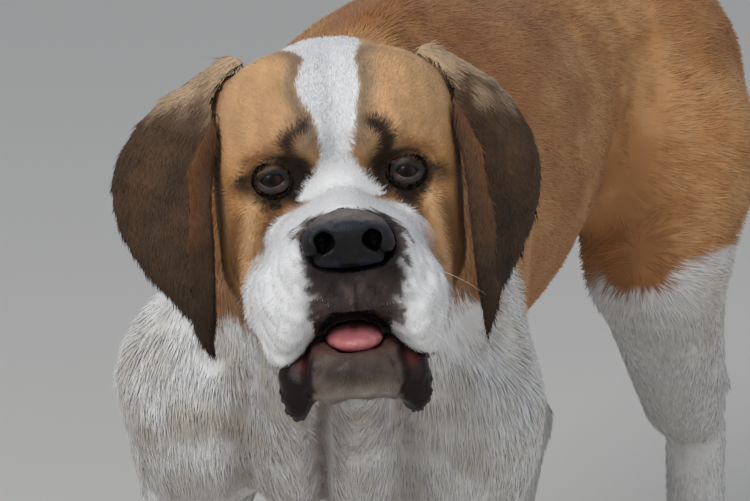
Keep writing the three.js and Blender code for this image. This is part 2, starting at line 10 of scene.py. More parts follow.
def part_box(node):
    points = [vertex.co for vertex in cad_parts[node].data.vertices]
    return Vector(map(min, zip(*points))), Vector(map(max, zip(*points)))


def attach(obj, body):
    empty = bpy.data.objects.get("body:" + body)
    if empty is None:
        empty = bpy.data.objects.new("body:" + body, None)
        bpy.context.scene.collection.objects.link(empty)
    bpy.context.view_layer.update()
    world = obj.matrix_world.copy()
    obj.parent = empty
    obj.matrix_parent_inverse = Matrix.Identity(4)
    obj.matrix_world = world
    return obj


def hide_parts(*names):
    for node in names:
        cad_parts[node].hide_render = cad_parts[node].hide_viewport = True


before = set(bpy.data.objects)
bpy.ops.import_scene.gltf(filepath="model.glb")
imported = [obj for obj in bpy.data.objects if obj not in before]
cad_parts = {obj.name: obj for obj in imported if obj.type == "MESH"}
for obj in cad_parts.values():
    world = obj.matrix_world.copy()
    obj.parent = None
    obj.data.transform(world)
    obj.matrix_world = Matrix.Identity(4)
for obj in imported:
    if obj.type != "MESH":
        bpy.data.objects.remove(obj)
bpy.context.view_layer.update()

# How the dog carries its head: turned to its left, the nose lifted and the crown tipped to its right. Its own
# frame starts between the eyeballs and counts in millimetres: +X is the dog's left, -Y the way it looks, +Z
# up.
HEAD_TURN, HEAD_LIFT, HEAD_TILT = 22, 14, -3.5  # degrees
EYE_DEPTH = 1
MM = 0.001


def middle(node):
    low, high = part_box(node)
    return (low + high) / 2


def turn(degrees, axis):
    return Matrix.Rotation(math.radians(degrees), 3, axis)


head_axes = turn(HEAD_TURN, "Z") @ turn(-HEAD_LIFT, "X") @ turn(HEAD_TILT, "Y")
between_eyes = (middle("eye_left") + middle("eye_right")) / 2
head_at = between_eyes - head_axes @ Vector((0, EYE_DEPTH * MM, 0))
AXES = np.array(head_axes)
HEAD_AT = np.array(head_at)


def in_head(points):
    return (np.asarray(points, float) - HEAD_AT) @ AXES / MM


def from_head(points):
    return np.asarray(points, float) @ AXES.T * MM + HEAD_AT


def directed(vectors):
    return np.asarray(vectors, float) @ AXES.T


def new_object(name, data):
    piece = bpy.data.objects.new(name, data)
    bpy.context.scene.collection.objects.link(piece)
    return piece


# The camera looks at the face as the photograph does, from a little above the eyes and with a long lens.
CAMERA_TURN, CAMERA_HEIGHT = 20, 14  # degrees
DISTANCE = 2.2
PIXEL = 0.00069  # metres that one pixel spans at the eyes
FRAME_WIDE, FRAME_HIGH = 750, 501
EYES_AT_PIXEL = (339.5, 175.5)
SENSOR = 36
azimuth = math.radians(CAMERA_TURN)
elevation = math.radians(CAMERA_HEIGHT)
back = Vector(
    (math.sin(azimuth) * math.cos(elevation), -math.cos(azimuth) * math.cos(elevation), math.sin(elevation))
)
right = Vector((math.cos(azimuth), math.sin(azimuth), 0))
up = back.cross(right)
shift_right = (FRAME_WIDE / 2 - EYES_AT_PIXEL[0]) * PIXEL
shift_down = (FRAME_HIGH / 2 - EYES_AT_PIXEL[1]) * PIXEL
camera = new_object("camera", bpy.data.cameras.new("camera"))
camera.data.sensor_width = SENSOR
camera.data.lens = DISTANCE / (PIXEL * FRAME_WIDE) * SENSOR
camera.location = between_eyes + right * shift_right - up * shift_down + back * DISTANCE
camera.rotation_mode = "QUATERNION"
camera.rotation_quaternion = (-back).to_track_quat("-Z", "Y")
bpy.context.scene.camera = camera

# The skin is one hide over the whole trunk, neck, head and legs. It lies under the coat, deeper where the
# hair is longer, and has the folds that loose skin makes on the face and the throat.
FLESH = [
    "head", "neck", "torso", "tail", "foreleg_left", "foreleg_right", "thigh_left", "thigh_right",
    "shank_left", "shank_right", "forepaw_left", "forepaw_right", "hindpaw_left", "hindpaw_right",
]
HIDE_CELL = 5 * MM
BRIDGE = 0.4 * MM  # how far the pieces are swollen so that neighbours join


def step(low, high, value):
    t = np.clip((value - low) / (high - low), 0, 1)
    return t * t * (3 - 2 * t)


def mixed(a, b, share):
    share = np.asarray(share)[..., None]
    return a * (1 - share) + b * share


def unit(vectors):
    return vectors / np.maximum(np.linalg.norm(vectors, axis=-1, keepdims=True), 1e-12)


def gathered(nodes, swell=0.0):
    """One bmesh with the faces of several solids, each swollen a little along its normals."""
    bm = bmesh.new()
    for node in nodes:
        bm.from_mesh(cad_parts[node].data)
    bmesh.ops.remove_doubles(bm, verts=bm.verts, dist=0.01 * MM)
    bm.normal_update()
    for vertex in bm.verts:
        vertex.co += vertex.normal * swell
    return bm


def refined(bm, cell):
    """The same form as one even net of small faces, with nothing inside it."""
    mesh = bpy.data.meshes.new("coarse")
    bm.to_mesh(mesh)
    coarse = new_object("coarse", mesh)
    remesh = coarse.modifiers.new("remesh", "REMESH")
    remesh.mode = "VOXEL"
    remesh.voxel_size = cell
    evaluated = coarse.evaluated_get(bpy.context.evaluated_depsgraph_get())
    fine = bmesh.new()
    fine.from_mesh(evaluated.to_mesh())
    bpy.data.objects.remove(coarse)
    left = set(fine.verts)
    islands = []
    while left:
        island = {left.pop()}
        front = list(island)
        while front:
            vertex = front.pop()
            for edge in vertex.link_edges:
                other = edge.other_vert(vertex)
                if other in left:
                    left.discard(other)
                    island.add(other)
                    front.append(other)
        islands.append(island)
    islands.sort(key=len)
    bmesh.ops.delete(fine, geom=[v for island in islands[:-1] for v in island], context="VERTS")
    return fine


def places(bm):
    return np.array([v.co for v in bm.verts])


def pairs(bm):
    return np.array([[v.index for v in e.verts] for e in bm.edges])


def relaxed(points, edges, passes, share=1.0):
    """Points eased towards their neighbours and back out, which rounds facets and keeps the bulk."""
    degree = np.bincount(edges.ravel(), minlength=len(points))[:, None]
    for i in range(2 * passes):
        total = np.stack(
            [
                np.bincount(edges[:, 0], points[edges[:, 1], axis], len(points))
                + np.bincount(edges[:, 1], points[edges[:, 0], axis], len(points))
                for axis in range(3)
            ],
            axis=1,
        )
        pull = total / degree - points
        points = points + pull * share * (0.5 if i % 2 == 0 else -0.52)
    return points


def moved(bm, points):
    for vertex, place in zip(bm.verts, points):
        vertex.co = place
    bm.normal_update()


def normals(bm):
    return np.array([v.normal for v in bm.verts])


def ripple(points, size, seed, octaves=2):
    """An even, seedable roughness between about -1 and 1, from crossing waves of the given size."""
    rng = np.random.default_rng(seed)
    total = np.zeros(len(points))
    for octave in range(octaves):
        waves = rng.normal(size=(7, 3)) * (2 ** octave) / size
        phases = rng.uniform(0, 2 * np.pi, 7)
        total += np.sin(points @ waves.T + phases).sum(1) / 2.6 / 1.6 ** octave
    return total / 1.4


def ripple_slope(points, size, seed):
    """Which way such a roughness rises at each point, about 1 long on the whole."""
    rng = np.random.default_rng(seed)
    waves = rng.normal(size=(9, 3)) / size
    phases = rng.uniform(0, 2 * np.pi, 9)
    return np.cos(points @ waves.T + phases) @ waves * size / 3


def crease(local, path, width):
    """How close each point lies to a line through the path: 1 on it, falling off over the width."""
    path = np.asarray(path, float)
    best = np.full(len(local), 1e9)
    for a, b in zip(path[:-1], path[1:]):
        along = np.clip(((local - a) @ (b - a)) / ((b - a) @ (b - a)), 0, 1)
        gap = local - a - along[:, None] * (b - a)
        best = np.minimum(best, (gap * gap).sum(1))
    return np.exp(-best / width ** 2)


def blob(local, centre, radii):
    away = (local - np.asarray(centre, float)) / np.asarray(radii, float)
    return np.exp(-(away * away).sum(1))


def sides(local):
    """Points folded onto the dog's left, so that one value serves both sides."""
    folded = local.copy()
    folded[:, 0] = np.abs(folded[:, 0])
    return folded


def flattened(local):
    """Points as they are seen from the front, with their depth left out."""
    return local * [1, 0, 1]


def headness(local):
    """1 on the face, 0 behind the ears."""
    return 1 - step(60, 150, local[:, 1])


def feetness(points):
    """1 in the paws, 0 above the pasterns."""
    return 1 - step(80, 110, points[:, 2] / MM)


def throatness(local):
    """1 on the throat and the chest under it, 0 elsewhere."""
    x, y, z = local.T
    return step(-20, 20, y) * (1 - step(400, 460, y)) * (1 - step(-150, -125, z))


def coat_depth(points):
    local = in_head(points)
    height = points[:, 2] / MM
    body = 7 - 3.5 * (1 - step(120, 420, height)) - 1.5 * feetness(points)
    return MM * (body * (1 - headness(local)) + 2.2 * headness(local))


# Folds of the face and the throat: a path in the head's frame, a width and a height, in millimetres. Those of
# the first list are on both sides, those of the second where they are written.
FOLDS = [
    ([(76, 24, -8), (80, 20, -44), (76, 12, -92)], 5, -3.4),  # behind the cheek
    ([(55, -6, -22), (60, -10, -52), (62, -14, -84)], 5.5, -3.6),  # between cheek and muzzle
    ([(64, 6, -16), (70, 2, -52), (68, -6, -96)], 6, 2.6),  # the roll between them
    ([(71, 14, -20), (76, 10, -60), (70, 2, -100)], 3.5, -1.6),  # a line down that roll
    ([(34, -22, -12), (46, -20, -17), (60, -8, -15), (72, 8, -10)], 3.6, -1.6),  # under the eye
    ([(33, -16, 14), (44, -16, 16), (58, -6, 12), (70, 12, 4)], 4, -1.2),  # over the upper lid
    ([(26, -16, 12), (24, -16, 26), (31, -10, 42)], 5, -1.6),  # inner end of the brow
    ([(8, -100, -96), (19, -99, -106), (27, -95, -118), (32, -92, -130)], 4, 1.4),  # edge of the upper lip
    ([(30, -92, -58), (38, -84, -70), (40, -78, -92)], 6, 1.2),  # cushion that carries the whiskers
]
MIDDLE_FOLDS = [
    ([(0, -24, 8), (0, -14, 40), (0, 20, 82), (0, 60, 100)], 8, -1.8),  # furrow of the forehead
    ([(3, -108, -62), (3, -104, -80), (3, -98, -98)], 2.6, -3.0),  # groove under the nose
]
# Those of the throat and the chest, whose depth is that of the skin where they cross it.
THROAT_FOLDS = [
    ([(-18, 0, -150), (-21, 0, -190), (-22, 0, -300)], 6, -10),  # the middle
    ([(-44, 0, -140), (-50, 0, -190), (-48, 0, -290)], 20, 5),  # the two ridges beside it
    ([(6, 0, -140), (12, 0, -190), (14, 0, -290)], 20, 5),
    ([(-78, 0, -140), (-84, 0, -190), (-82, 0, -300)], 9, -7),  # the hollows outside them
    ([(40, 0, -140), (45, 0, -190), (48, 0, -300)], 9, -7),
    ([(-92, 0, -110), (-100, 0, -160), (-108, 0, -240)], 11, 5),  # the edge of the shoulder
]

hide = refined(gathered(FLESH, BRIDGE), HIDE_CELL)
points = places(hide)
softness = 1 - 0.7 * feetness(points)
points = relaxed(points, pairs(hide), 12, softness[:, None])
moved(hide, points)
detailed = np.array([(*f.calc_center_median(),) for f in hide.faces])
fine_faces = (in_head(detailed)[:, 1] < 75) | (detailed[:, 2] < 80 * MM)
edges = list({e for f, fine in zip(hide.faces, fine_faces) if fine for e in f.edges})
bmesh.ops.subdivide_edges(hide, edges=edges, cuts=1, use_grid_fill=True)
hide.verts.index_update()
head_form = BVHTree.FromBMesh(gathered(["head"]))
paw_form = BVHTree.FromBMesh(gathered([name for name in FLESH if "paw" in name]))
points = places(hide)
local = in_head(points)
for i in np.nonzero(local[:, 1] < 90)[0]:
    hit, normal, index, gap = head_form.find_nearest(points[i])
    if gap < 6 * MM:
        points[i] = hit
for i in np.nonzero(points[:, 2] < 70 * MM)[0]:
    hit, normal, index, gap = paw_form.find_nearest(points[i])
    if gap < 5 * MM:
        points[i] = hit
softness = 1 - 0.55 * np.maximum(headness(local), feetness(points))
points = relaxed(points, pairs(hide), 5, softness[:, None])
moved(hide, points)
outwards = normals(hide)
points = points - outwards * coat_depth(points)[:, None]
local = in_head(points)
lift = np.zeros(len(points))
for path, width, height in FOLDS:
    lift += crease(sides(local), path, width) * height
for path, width, height in MIDDLE_FOLDS:
    lift += crease(local, path, width) * height
for path, width, height in THROAT_FOLDS:
    lift += crease(flattened(local), path, width) * height * throatness(local)
x, y, z = local.T
pads = (1 - step(-45, -25, y)) * (1 - step(-62, -44, z)) * step(26, 36, np.abs(x))  # lumps of the flews
lift += 1.1 * ripple(local, 5, 9) * pads
points = points + outwards * (lift * MM)[:, None]
points = relaxed(points, pairs(hide), 2, 0.5)
points[:, 2] = np.maximum(points[:, 2], 1.5 * MM)
moved(hide, points)


def finished(bm, name):
    mesh = bpy.data.meshes.new(name)
    bm.to_mesh(mesh)
    mesh.shade_smooth()
    return new_object(name, mesh)


def unwrapped(piece):
    """Lays the skin out flat in pieces, in a map of its own."""
    bpy.context.view_layer.objects.active = piece
    piece.select_set(True)
    piece.data.uv_layers.new(name="OFBake")
    bpy.ops.object.mode_set(mode="EDIT")
    bpy.ops.mesh.select_all(action="SELECT")
    bpy.ops.uv.smart_project(angle_limit=math.radians(66), island_margin=0.002)
    bpy.ops.object.mode_set(mode="OBJECT")
    piece.select_set(False)


skin = finished(hide, "skin")
unwrapped(skin)


# The coat's markings, with painted shade and painted light among them. One function gives the colour of every
# hair root and of the skin under it.
def linear(code):
    """An sRGB hex colour as linear red, green and blue."""
    parts = np.array([int(code[i : i + 2], 16) for i in (1, 3, 5)]) / 255
    return np.where(parts <= 0.04045, parts / 12.92, ((parts + 0.055) / 1.055) ** 2.4)


WHITE = linear("#dfdedd")
CREAM = linear("#c9bfae")
TAN = linear("#bd8c59")
FAWN = linear("#d5ac80")
RUST = linear("#8a5a34")
UMBER = linear("#5b3d26")
RED_BROWN = linear("#935e39")
CARAMEL = linear("#c28f5d")
GREY = linear("#6e6358")
TAUPE = linear("#6d6054")
BLACK = linear("#120e0c")
MAUVE = linear("#453a37")
PINK = linear("#7a625c")

# Painted shade and light on the cheek: dark bands of painted shade in its creases and a pale band of painted
# light on the roll between them. Each gives colour, strength, path as seen from the front, and width.
CHEEK_SHADE_AND_LIGHT = [
    (UMBER, 0.9, [(45, 0, -18), (50, 0, -36), (56, 0, -60), (66, 0, -100)], 6.5),
    (FAWN, 0.7, [(61, 0, -16), (65, 0, -42), (70, 0, -72)], 4.5),
    (UMBER, 0.6, [(72, 0, -26), (76, 0, -56), (80, 0, -88)], 5),
]

# The edges of the white blaze and muzzle, as the distance to each side of the middle at each height.
BLAZE_HEIGHTS = [-98, -84, -53, -33, -6, 10, 40, 60, 80, 94, 110]
BLAZE_RIGHT = [-69, -64, -53, -42, -24, -13, -16, -25, -20, -34, -40]
BLAZE_LEFT = [64, 62, 57, 47, 24, 9, 12, 17, 16, 22, 26]

# The lowest brown hair on the flanks at each place along the dog, in millimetres from the floor.
FLANK_PLACES = [-420, -300, -235, -200, -150, -60, 120, 330, 520, 600]
FLANK_EDGES = [690, 670, 640, 590, 462, 436, 428, 452, 430, 330]


def all_over(colour, points):
    """The one colour, once for each point."""
    return np.tile(colour, (len(points), 1))


def naked(points):
    """1 on bare skin: round the nose, under it and along the lips."""
    local = in_head(points)
    x, y, z = local.T
    rough = ripple(local, 5, 6)
    half = np.interp(z, [-112, -98, -85, -70, -55, -40, -26], [18, 26, 29, 30, 33, 36, 20])
    front = step(-11, 8, half - np.abs(x - 3) + 3 * rough) * (1 - step(-62, -50, y + 3 * rough))
    front = front * (1 - step(-30, -24, z + 2 * rough)) * step(-125, -112, z)
    lip_edge = [(0, 0, -98), (13, 0, -103), (22, 0, -114), (33, 0, -131)]
    lips = crease(flattened(sides(local)), lip_edge, 7) * (y < -50)
    inside = (np.abs(x) < 26) * (z < -96) * (y > -96) * (y < 20)
    return np.clip(np.maximum.reduce([front, 1.3 * lips, inside]), 0, 1)


GROOVE = [(3, 0, -58), (3, 0, -96)]  # from the nose to the mouth


def nose_shade(local):
    """How dark the lip is under the nose, and along the groove down its middle."""
    x, y, z = local.T
    under = step(-92, -62, z) * (1 - step(26, 38, np.abs(x - 3)))
    return 0.9 * under, 0.85 * crease(flattened(local), GROOVE, 1.8)


def markings_and_shade(points):
    local = in_head(points)
    x, y, z = local.T
    rough = ripple(local, 9, 1)
    broad = ripple(local, 34, 2)
    streaks = ripple(local * [1, 1, 0.22], 5, 5)
    folded = sides(local)
    flat = flattened(folded)
    # Tan face, paler over the brows and greyer on the cheeks; the darkest brown low under them is painted
    # shade.
    colour = mixed(all_over(TAN, points), FAWN, step(-10, 50, z + 12 * broad) * 0.8)
    colour = mixed(colour, RUST, 0.55 * (1 - step(-50, 0, z + 10 * rough)) + 0.12)
    colour = mixed(colour, UMBER, 0.8 * (1 - step(-108, -50, z + 12 * rough)))
    # Painted shade in the cheek's creases and painted light on the roll between them.
    for paint, share, path, width in CHEEK_SHADE_AND_LIGHT:
        colour = mixed(colour, paint, share * crease(flat, path, width))
    # Painted shade along the back edge of the cheek, next to the ear.
    colour = mixed(colour, UMBER, 0.5 * step(79, 90, np.abs(x) + 3 * rough) * (1 - step(-20, 30, z)))
    colour = colour * (1 + 0.1 * streaks)[:, None]
    colour = mixed(colour, RUST, 0.6 * crease(folded, [(60, 40, 78), (84, 26, 50), (92, 24, 0)], 12))
    low, high = np.interp(z, BLAZE_HEIGHTS, BLAZE_RIGHT), np.interp(z, BLAZE_HEIGHTS, BLAZE_LEFT)
    inside = np.minimum(x - low, high - x) + 2.2 * rough
    edging = np.exp(-(((inside + 5) / 7) ** 2)) * step(8, 26, z) * (1 - step(84, 96, z)) * (inside < 3)
    colour = mixed(colour, GREY, 0.7 * edging)
    black = np.maximum.reduce(
        [
            crease(flat, [(24, 0, 32), (30, 0, 29), (33, 0, 23), (31, 0, 14), (28, 0, 8)], 8),
            crease(flat, [(34, 0, 4), (46, 0, -1), (57, 0, -3)], 12.5),
            1.1 * crease(flat, [(28, 0, 8), (26, 0, 0), (32, 0, -8)], 13),
            crease(flat, [(34, 0, -9), (44, 0, -12), (54, 0, -9)], 10.5),
            crease(flat, [(54, 0, -3), (62, 0, -5), (71, 0, -3)], 8) * (1 - 0.4 * step(60, 76, np.abs(x))),
            crease(flat, [(34, 0, 12), (46, 0, 12), (58, 0, 7), (66, 0, 0)], 6),
        ]
    )
    black = black - 0.5 * blob(flat, (19, 0, 21), (7, 1, 10))
    colour = mixed(colour, GREY, 0.4 * blob(flat, (20, 0, 21), (8, 1, 10)))
    black = black * (1 - step(20, 40, y))
    colour = mixed(colour, BLACK, 0.96 * step(0.15, 0.95, black + 0.14 * rough + 0.14 * streaks))
    colour = mixed(colour, RUST, 0.7 * crease(flat, [(43, 0, 20), (54, 0, 17), (63, 0, 11)], 3.6))
    depth = np.where(z > -16, 400, 0) + 4 * rough
    inside = inside + 8 * (1 - step(-36, -16, z))
    white = step(-1.2, 1.2, inside) * (1 - step(-14, -2, y - depth))
    colour = mixed(colour, WHITE, white)
    # Mottled muzzle: dark and white hairs mixed round the nose.
    bare = naked(points)
    freckles = step(-0.3, 0.4, 0.8 * ripple(local, 2.0, 7) + 2.0 * bare - 1.0) * step(0.02, 0.15, bare)
    colour = mixed(colour, MAUVE, 0.92 * freckles)
    for shade in nose_shade(local):
        colour = mixed(colour, BLACK, bare * shade)
    # Brown back and flanks over a white neck, chest, belly, legs and tail tip.
    wy, wz = (points / MM).T[1:]
    wide = ripple(points / MM, 60, 3)
    fine = ripple(points / MM, 16, 4)
    reddish = 0.55 + 0.24 * wide + 0.14 * fine
    back_colour = mixed(all_over(RED_BROWN, points), CARAMEL, np.clip(reddish, 0, 1))
    back_colour = mixed(back_colour, FAWN, 0.2 * step(0.5, 1.2, fine + wide))
    edge = np.interp(wy, FLANK_PLACES, FLANK_EDGES) + 20 * wide + 7 * fine
    nape = crease(local, [(8, 100, 92), (20, 150, 84), (22, 190, 70)], 26)
    brown = step(-7, 7, wz - edge) * (1 - step(0.35, 0.6, nape + 0.1 * fine))
    tail_tip = (wy > 560) * (1 - step(250, 300, wz + 20 * wide))
    brown = np.maximum(brown, (wy > 590) * (wz > 200)) * (1 - tail_tip)
    cloudy = 0.2 + (0.25 * fine + 0.2 * wide) * step(250, 420, wz)
    pale = mixed(all_over(WHITE, points), CREAM, np.clip(cloudy, 0, 0.8))
    chest = (1 - step(-330, -200, wy)) * step(250, 400, wz)
    pale = mixed(pale, CREAM * 0.8, chest * np.clip(0.3 + 0.3 * fine, 0, 1))
    # Painted shade in the throat's middle crease and in the hollows beside it.
    throat_crease_shade = 0.8 * crease(flattened(local), THROAT_FOLDS[0][0], 7)
    for path, width, height in THROAT_FOLDS[3:5]:
        throat_crease_shade = throat_crease_shade + 0.42 * crease(flattened(local), path, 14)
    pale = mixed(pale, TAUPE, throat_crease_shade * throatness(local))
    body = mixed(pale, back_colour, brown)
    # The sides of the neck next to the head: the back's brown, darkened towards the head with painted shade.
    beside = step(48, 60, np.abs(x)) * (1 - step(120, 134, np.abs(x) + 6 * fine))
    beside = beside * step(-9, 9, z + 96 + 8 * fine)
    neck_brown_and_shade = mixed(back_colour, UMBER, 0.9 - 0.5 * step(120, 280, y))
    body = mixed(body, neck_brown_and_shade, beside * (1 - step(345, 385, y)))
    behind = step(86, 100, y + 5 * rough)
    under = (1 - step(-112, -96, z + 5 * rough)) * step(0, 20, y)
    return mixed(mixed(colour, WHITE, under), body, behind)


def painted(mesh, colours):
    layer = mesh.color_attributes.new("coat", "FLOAT_COLOR", "POINT")
    values = np.ones((len(mesh.vertices), 4), np.float32)
    values[:, :3] = np.clip(colours, 0, 1)
    layer.data.foreach_set("color", values.ravel())


def co_of(mesh):
    values = np.zeros(len(mesh.vertices) * 3, np.float32)
    mesh.vertices.foreach_get("co", values)
    return values.reshape(-1, 3).astype(float)


def new_material(name, roughness, specular=0.5):
    material = bpy.data.materials.new(name)
    material.use_nodes = True
    shader = material.node_tree.nodes["Principled BSDF"]
    shader.inputs["Roughness"].default_value = roughness
    shader.inputs["Specular IOR Level"].default_value = specular
    return material, shader


def add_node(material, kind, settings=(), values=(), links=()):
    """A node with its settings, its input values and its links from other nodes' outputs."""
    node = material.node_tree.nodes.new(kind)
    for name, value in dict(settings).items():
        setattr(node, name, value)
    for name, value in dict(values).items():
        node.inputs[name].default_value = value
    for name, output in dict(links).items():
        material.node_tree.links.new(output, node.inputs[name])
    return node


def coloured(material, shader):
    """Takes the material's colour from the colours painted on the mesh."""
    paint = add_node(material, "ShaderNodeAttribute", {"attribute_name": "coat"})
    material.node_tree.links.new(paint.outputs["Color"], shader.inputs["Base Color"])
    return paint


def relief(material, shader, texture, values, output, strength, height):
    """Raises and sinks the surface by a texture fixed to the piece, to a height in millimetres."""
    where = add_node(material, "ShaderNodeTexCoord")
    pattern = add_node(material, texture, values=values, links={"Vector": where.outputs["Object"]})
    bump = add_node(
        material, "ShaderNodeBump", values={"Strength": strength, "Distance": height * MM},
        links={"Height": pattern.outputs[output]},
    )
    material.node_tree.links.new(bump.outputs["Normal"], shader.inputs["Normal"])


# Dog hair is keratin with a waxy film: matt from afar, with a soft sheen along the strands.
hair, shader = new_material("hair", 0.65, 0.14)
shader.inputs["Sheen Weight"].default_value = 0.06
shader.inputs["Sheen Roughness"].default_value = 0.45
coloured(hair, shader)

# The hide itself carries the down between the tufts. Hairs of 0.1 mm are too fine for a picture of a whole
# dog, so the grain is drawn about twelve times coarser.
hide_look, shader = new_material("hide", 0.7, 0.15)
coloured(hide_look, shader)
relief(hide_look, shader, "ShaderNodeTexNoise", {"Scale": 800, "Detail": 2.0}, "Fac", 0.5, 0.6)


def hide_colours(points):
    """The skin's colour: that of the hair, dimmed a little as painted shade, mottled mauve where it is bare,
    and darkened inside the mouth as painted shade.
    """
    bare = naked(points)
    local = in_head(points)
    mottle = ripple(local, 3.5, 31)
    bare_colour = mixed(all_over(MAUVE, points), PINK, 0.5 * step(0.3, 1.2, mottle))
    bare_colour = mixed(bare_colour, BLACK, 0.6 * step(0.2, 1.1, -mottle))
    bare_colour = mixed(bare_colour, BLACK, np.maximum(*nose_shade(local)))
    x, y, z = local.T
    # Painted shade inside the mouth.
    deep = (z < -98) * (y > -92) * (np.abs(x) < 26)
    bare_colour = mixed(bare_colour, BLACK * 0.7, deep * 0.8)
    # The hair's colour on the skin is dimmed to nine tenths as painted shade under the coat.
    return mixed(markings_and_shade(points) * 0.9, bare_colour, bare)


painted(skin.data, hide_colours(co_of(skin.data)))
skin.data.materials.append(hide_look)
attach(skin, "root")
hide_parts(*FLESH)


# The coat: short hair that lies flat in small tufts, each a thin three-sided spike sunk in the skin at its
# root. It runs from the nose back over the head, down the throat and the legs and back along the trunk.
class Surface:
    def __init__(self, piece):
        mesh = piece.data
        mesh.calc_loop_triangles()
        count = len(mesh.loop_triangles)
        self.co = co_of(mesh)
        corners = np.zeros(count * 3, np.int32)
        mesh.loop_triangles.foreach_get("vertices", corners)
        self.corners = corners.reshape(-1, 3)
        loops = np.zeros(count * 3, np.int32)
        mesh.loop_triangles.foreach_get("loops", loops)
        uv = np.zeros(len(mesh.loops) * 2, np.float32)
        mesh.uv_layers["OFBake"].uv.foreach_get("vector", uv)
        self.uv = uv.reshape(-1, 2)[loops.reshape(-1, 3)].astype(float)
        normal = np.zeros(len(mesh.vertices) * 3, np.float32)
        mesh.vertex_normals.foreach_get("vector", normal)
        self.normal = normal.reshape(-1, 3).astype(float)
        a, b, c = (self.co[self.corners[:, i]] for i in range(3))
        self.area = np.linalg.norm(np.cross(b - a, c - a), axis=1) / 2
        self.centre = (a + b + c) / 3

    def scattered(self, density, seed):
        """Seeded places on the surface, so many to a square metre, with normals and flat places."""
        rng = np.random.default_rng(seed)
        wanted = self.area * density(self.centre)
        number = np.floor(wanted + rng.random(len(wanted))).astype(int)
        index = np.repeat(np.arange(len(wanted)), number)
        u, v = rng.random((2, len(index)))
        over = u + v > 1
        u[over], v[over] = 1 - u[over], 1 - v[over]
        weights = np.stack([1 - u - v, u, v], 1)[..., None]
        corners = self.corners[index]
        place = (self.co[corners] * weights).sum(1)
        normal = unit((self.normal[corners] * weights).sum(1))
        flat = (self.uv[index] * weights).sum(1)
        return place, normal, flat


def along_skin(flow, normal):
    return unit(flow - (flow * normal).sum(1, keepdims=True) * normal)


def lie(points, normal):
    """The way the hair runs at each point, along the skin."""
    local = in_head(points)
    x, y, z = local.T
    across = np.sign(x) * step(6, 60, np.abs(x))
    top = step(-30, 10, z)
    head = np.stack(
        [across * (0.5 + 0.3 * top), 0.9 + 0 * x, 0.9 * top - 0.9 * (1 - top) * step(15, 60, np.abs(x))], 1
    )
    head = directed(unit(head))
    height = points[:, 2] / MM
    along = points[:, 1] / MM
    front = 1 - step(-330, -120, along)
    low = 1 - step(300, 430, height)
    body = np.stack([0 * x, 1 - 0.9 * front - 0.8 * low, -0.35 - 0.9 * front - 0.9 * low], 1)
    return along_skin(mixed(unit(body), head, headness(local)), normal)


UV_PATCH = 0.003
ROOT_DEPTH = 0.8 * MM
OVER_FLOOR = 0.6 * MM  # no hair reaches lower
SPIKE = np.array([(0, 1, 3), (1, 2, 3), (2, 0, 3), (2, 1, 0)])
# Painted shade and light along each tuft: its three root points darkened and its tip lightened.
SPIKE_SHADE = np.array([0.9, 0.9, 0.94, 1.05])


def tufts(
    name, surface, density, shape, flow=lie, colours=markings_and_shade, seed=1, wild=0.16, part=None, vary=None
):
    """One coat piece. shape gives each tuft's length, width, rise and locking in millimetres."""
    rng = np.random.default_rng(seed)
    root, normal, flat = surface.scattered(density, seed)
    if part is not None:
        root, normal, flat = (values[part(root)] for values in (root, normal, flat))
    count = len(root)
    length, width, rise, lock = (np.broadcast_to(v, count) * MM for v in shape(root))
    length = length * rng.uniform(0.65, 1.2, count)
    width = width * rng.uniform(0.7, 1.25, count)
    along = flow(root, normal)
    across = np.cross(normal, along)
    along = unit(along + across * rng.normal(0, wild, count)[:, None])
    across = np.cross(normal, along)
    over = unit(normal + across * rng.normal(0, 0.35, count)[:, None])
    across = unit(np.cross(over, along))
    sunk = root - normal * ROOT_DEPTH
    half = (width / 2)[:, None]
    tip = root + along * length[:, None] + normal * (rise * rng.uniform(0.4, 1.1, count))[:, None]
    # Tips draw together into locks.
    gather = ripple_slope(root / MM, 5.5, 77) - 0.6 * ripple_slope(root / MM, 15, 78)
    gather = gather - (gather * normal).sum(1, keepdims=True) * normal
    tip = tip + gather * lock[:, None]
    rings = [sunk - across * half, sunk + across * half, sunk + over * half * 0.8, tip]
    size = len(rings)
    points = np.stack(rings, 1).reshape(-1, 3)
    points[:, 2] = np.maximum(points[:, 2], OVER_FLOOR)
    triangles = (SPIKE[None] + size * np.arange(count)[:, None, None]).reshape(-1, 3)
    mesh = bpy.data.meshes.new(name)
    mesh.vertices.add(len(points))
    mesh.vertices.foreach_set("co", points.astype(np.float32).ravel())
    mesh.loops.add(triangles.size)
    mesh.loops.foreach_set("vertex_index", triangles.astype(np.int32).ravel())
    mesh.polygons.add(len(triangles))
    mesh.polygons.foreach_set("loop_start", np.arange(0, triangles.size, 3, dtype=np.int32))
    mesh.update(calc_edges=True)
    mesh.shade_smooth()
    # Fur takes the light of the form it lies on, so its normals lean towards those of the skin.
    shading = np.stack([-across + 0.3 * over, across + 0.3 * over, over, over], 1)
    shading = unit(0.45 * shading + 0.8 * normal[:, None, :]).reshape(-1, 3)
    mesh.normals_split_custom_set_from_vertices(shading.astype(np.float32))
    spread = 0.07 if vary is None else vary(root)
    own = np.clip(1 + spread * rng.normal(0, 1, count), 0.4, 2)[:, None, None]
    colour = colours(root)[:, None, :] * own * SPIKE_SHADE[None, :, None]
    painted(mesh, colour.reshape(-1, 3))
    corner = rng.uniform(-1, 1, (size, 2)) * UV_PATCH / 2
    patch = (flat[:, None, :] + corner[None]).reshape(-1, 2)[triangles.ravel()]
    layer = mesh.uv_layers.new(name="OFBake")
    layer.uv.foreach_set("vector", patch.astype(np.float32).ravel())
    mesh.materials.append(hair)
    piece = new_object(name, mesh)
    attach(piece, "root")


hide_surface = Surface(skin)


